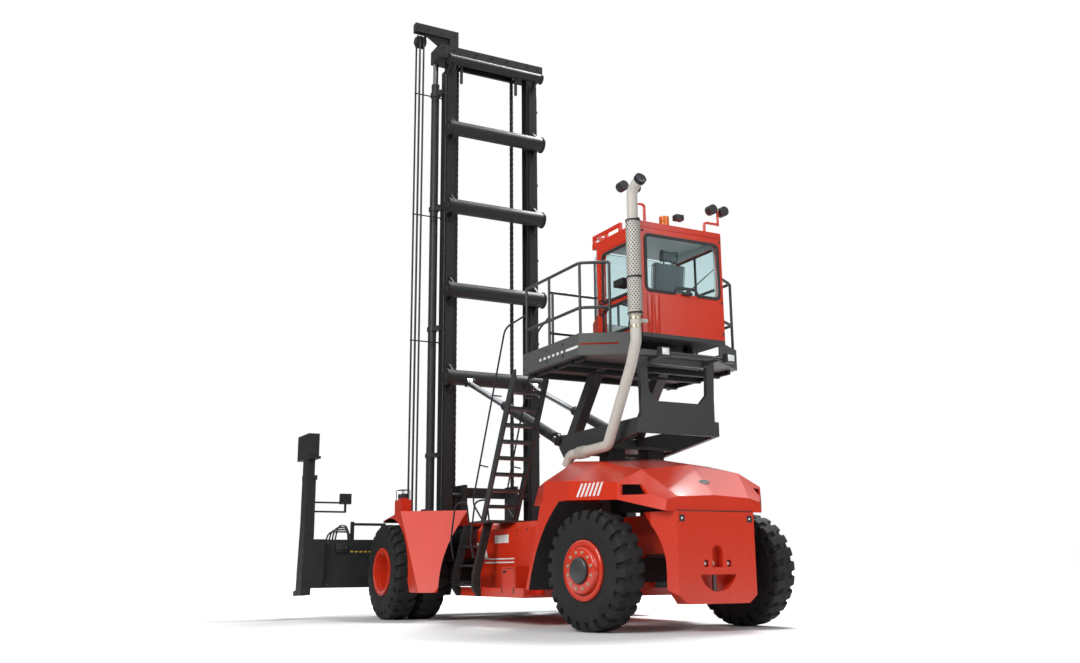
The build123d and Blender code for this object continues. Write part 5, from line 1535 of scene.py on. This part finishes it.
# Stage
stageLook = {
    "ambient": 0.30, "sky": (0.93, 0.96, 1.0, 1.0), "mirrorSky": (0.96, 0.98, 1.0, 1.0),
    "mirror": {"From Min": 0.35, "From Max": 0.80, "To Min": 0.10, "To Max": 1.5},
    "floor": 0.72, "floorRough": 0.9, "floorSize": 160.0,
    "glow": {"From Min": 4.2, "From Max": 8.0, "To Min": 0.0, "To Max": 1.0},
    "lamps": (  # name, place, aim, size, power
        ("keyLight", (-8.0, 15.0, 11.0), (0.0, 0.0, 2.0), 7.0, 2300.0),
        ("fillLight", (-15.0, -3.0, 9.0), (0.0, 0.0, 3.0), 9.0, 560.0),
        ("topLight", (3.0, -7.0, 18.0), (0.0, 0.5, 0.0), 6.0, 4700.0),
    ),
}
cameraLook = {  # angles in degrees
    "place": (-13.43, 7.554, 0.705), "heading": -28.03, "rise": 12.576, "roll": -0.481,
    "lens": 35.506, "sensor": 36.0, "reach": 400.0,
}


def buildFloor():
    bm = bmesh.new()
    bmesh.ops.create_grid(bm, x_segments=1, y_segments=1, size=stageLook["floorSize"])
    mesh = bpy.data.meshes.new("studioFloor")
    bm.to_mesh(mesh)
    bm.free()
    floor = bpy.data.objects.new("studioFloor", mesh)
    bpy.context.scene.collection.objects.link(floor)
    material, tree, shader = newMaterial("studioFloor")
    tone = stageLook["floor"]
    shader.inputs["Base Color"].default_value = (tone, tone, tone, 1.0)
    shader.inputs["Roughness"].default_value = stageLook["floorRough"]
    shader.inputs["Emission Color"].default_value = (1.0, 1.0, 1.0, 1.0)
    place = addNode(tree, "ShaderNodeTexCoord")
    reach = addNode(tree, "ShaderNodeVectorMath", operation="LENGTH")
    fade = addNode(tree, "ShaderNodeMapRange", stageLook["glow"])
    path = addNode(tree, "ShaderNodeLightPath")
    seen = addNode(tree, "ShaderNodeMath", operation="MULTIPLY")
    tree.links.new(place.outputs["Object"], reach.inputs[0])
    tree.links.new(reach.outputs["Value"], fade.inputs["Value"])
    tree.links.new(fade.outputs["Result"], seen.inputs[0])
    tree.links.new(path.outputs["Is Camera Ray"], seen.inputs[1])
    tree.links.new(seen.outputs["Value"], shader.inputs["Emission Strength"])
    mesh.materials.append(material)


def buildWorld():
    world = bpy.data.worlds.new("studio")
    bpy.context.scene.world = world
    world.use_nodes = True
    tree = world.node_tree
    ambient = tree.nodes["Background"]
    ambient.inputs["Color"].default_value = stageLook["sky"]
    ambient.inputs["Strength"].default_value = stageLook["ambient"]
    backdrop = addNode(tree, "ShaderNodeBackground", {"Color": (1, 1, 1, 1), "Strength": 1.0})
    mirror = addNode(tree, "ShaderNodeBackground", {"Color": stageLook["mirrorSky"]})
    way = addNode(tree, "ShaderNodeTexCoord")
    split = addNode(tree, "ShaderNodeSeparateXYZ")
    sky = addNode(tree, "ShaderNodeMapRange", stageLook["mirror"])
    glossy = addNode(tree, "ShaderNodeMixShader")
    path = addNode(tree, "ShaderNodeLightPath")
    seen = addNode(tree, "ShaderNodeMath", operation="MAXIMUM")
    mix = addNode(tree, "ShaderNodeMixShader")
    tree.links.new(path.outputs["Is Camera Ray"], seen.inputs[0])
    tree.links.new(path.outputs["Is Transmission Ray"], seen.inputs[1])
    tree.links.new(seen.outputs["Value"], mix.inputs["Fac"])
    tree.links.new(way.outputs["Generated"], split.inputs[0])
    tree.links.new(split.outputs["Z"], sky.inputs["Value"])
    tree.links.new(sky.outputs["Result"], mirror.inputs["Strength"])
    tree.links.new(path.outputs["Is Glossy Ray"], glossy.inputs["Fac"])
    tree.links.new(ambient.outputs["Background"], glossy.inputs[1])
    tree.links.new(mirror.outputs["Background"], glossy.inputs[2])
    tree.links.new(glossy.outputs["Shader"], mix.inputs[1])
    tree.links.new(backdrop.outputs["Background"], mix.inputs[2])
    tree.links.new(mix.outputs["Shader"], tree.nodes["World Output"].inputs["Surface"])


def buildLights():
    for name, place, aim, size, power in stageLook["lamps"]:
        light = bpy.data.lights.new(name, "AREA")
        light.shape = "SQUARE"
        light.size = size
        light.energy = power
        lamp = bpy.data.objects.new(name, light)
        turn = (Vector(aim) - Vector(place)).to_track_quat("-Z", "Y")
        lamp.matrix_world = Matrix.Translation(Vector(place)) @ turn.to_matrix().to_4x4()
        bpy.context.scene.collection.objects.link(lamp)


def buildCamera():
    look = cameraLook
    heading, rise, roll = (math.radians(look[name]) for name in ("heading", "rise", "roll"))
    level = Vector((math.cos(heading), math.sin(heading), 0.0))
    ahead = Vector((math.cos(rise) * level.x, math.cos(rise) * level.y, math.sin(rise)))
    right = Vector((level.y, -level.x, 0.0))
    up = right.cross(ahead)
    across = right * math.cos(roll) + up * math.sin(roll)
    upright = up * math.cos(roll) - right * math.sin(roll)
    turn = Matrix((across, upright, -ahead)).transposed()
    data = bpy.data.cameras.new("camera")
    data.lens = look["lens"]
    data.sensor_width = look["sensor"]
    data.clip_end = look["reach"]
    camera = bpy.data.objects.new("camera", data)
    camera.matrix_world = Matrix.Translation(Vector(look["place"])) @ turn.to_4x4()
    bpy.context.scene.collection.objects.link(camera)
    bpy.context.scene.camera = camera


buildFloor()
buildWorld()
buildLights()
buildCamera()
bpy.context.scene.view_settings.view_transform = "Standard"
print("stage")
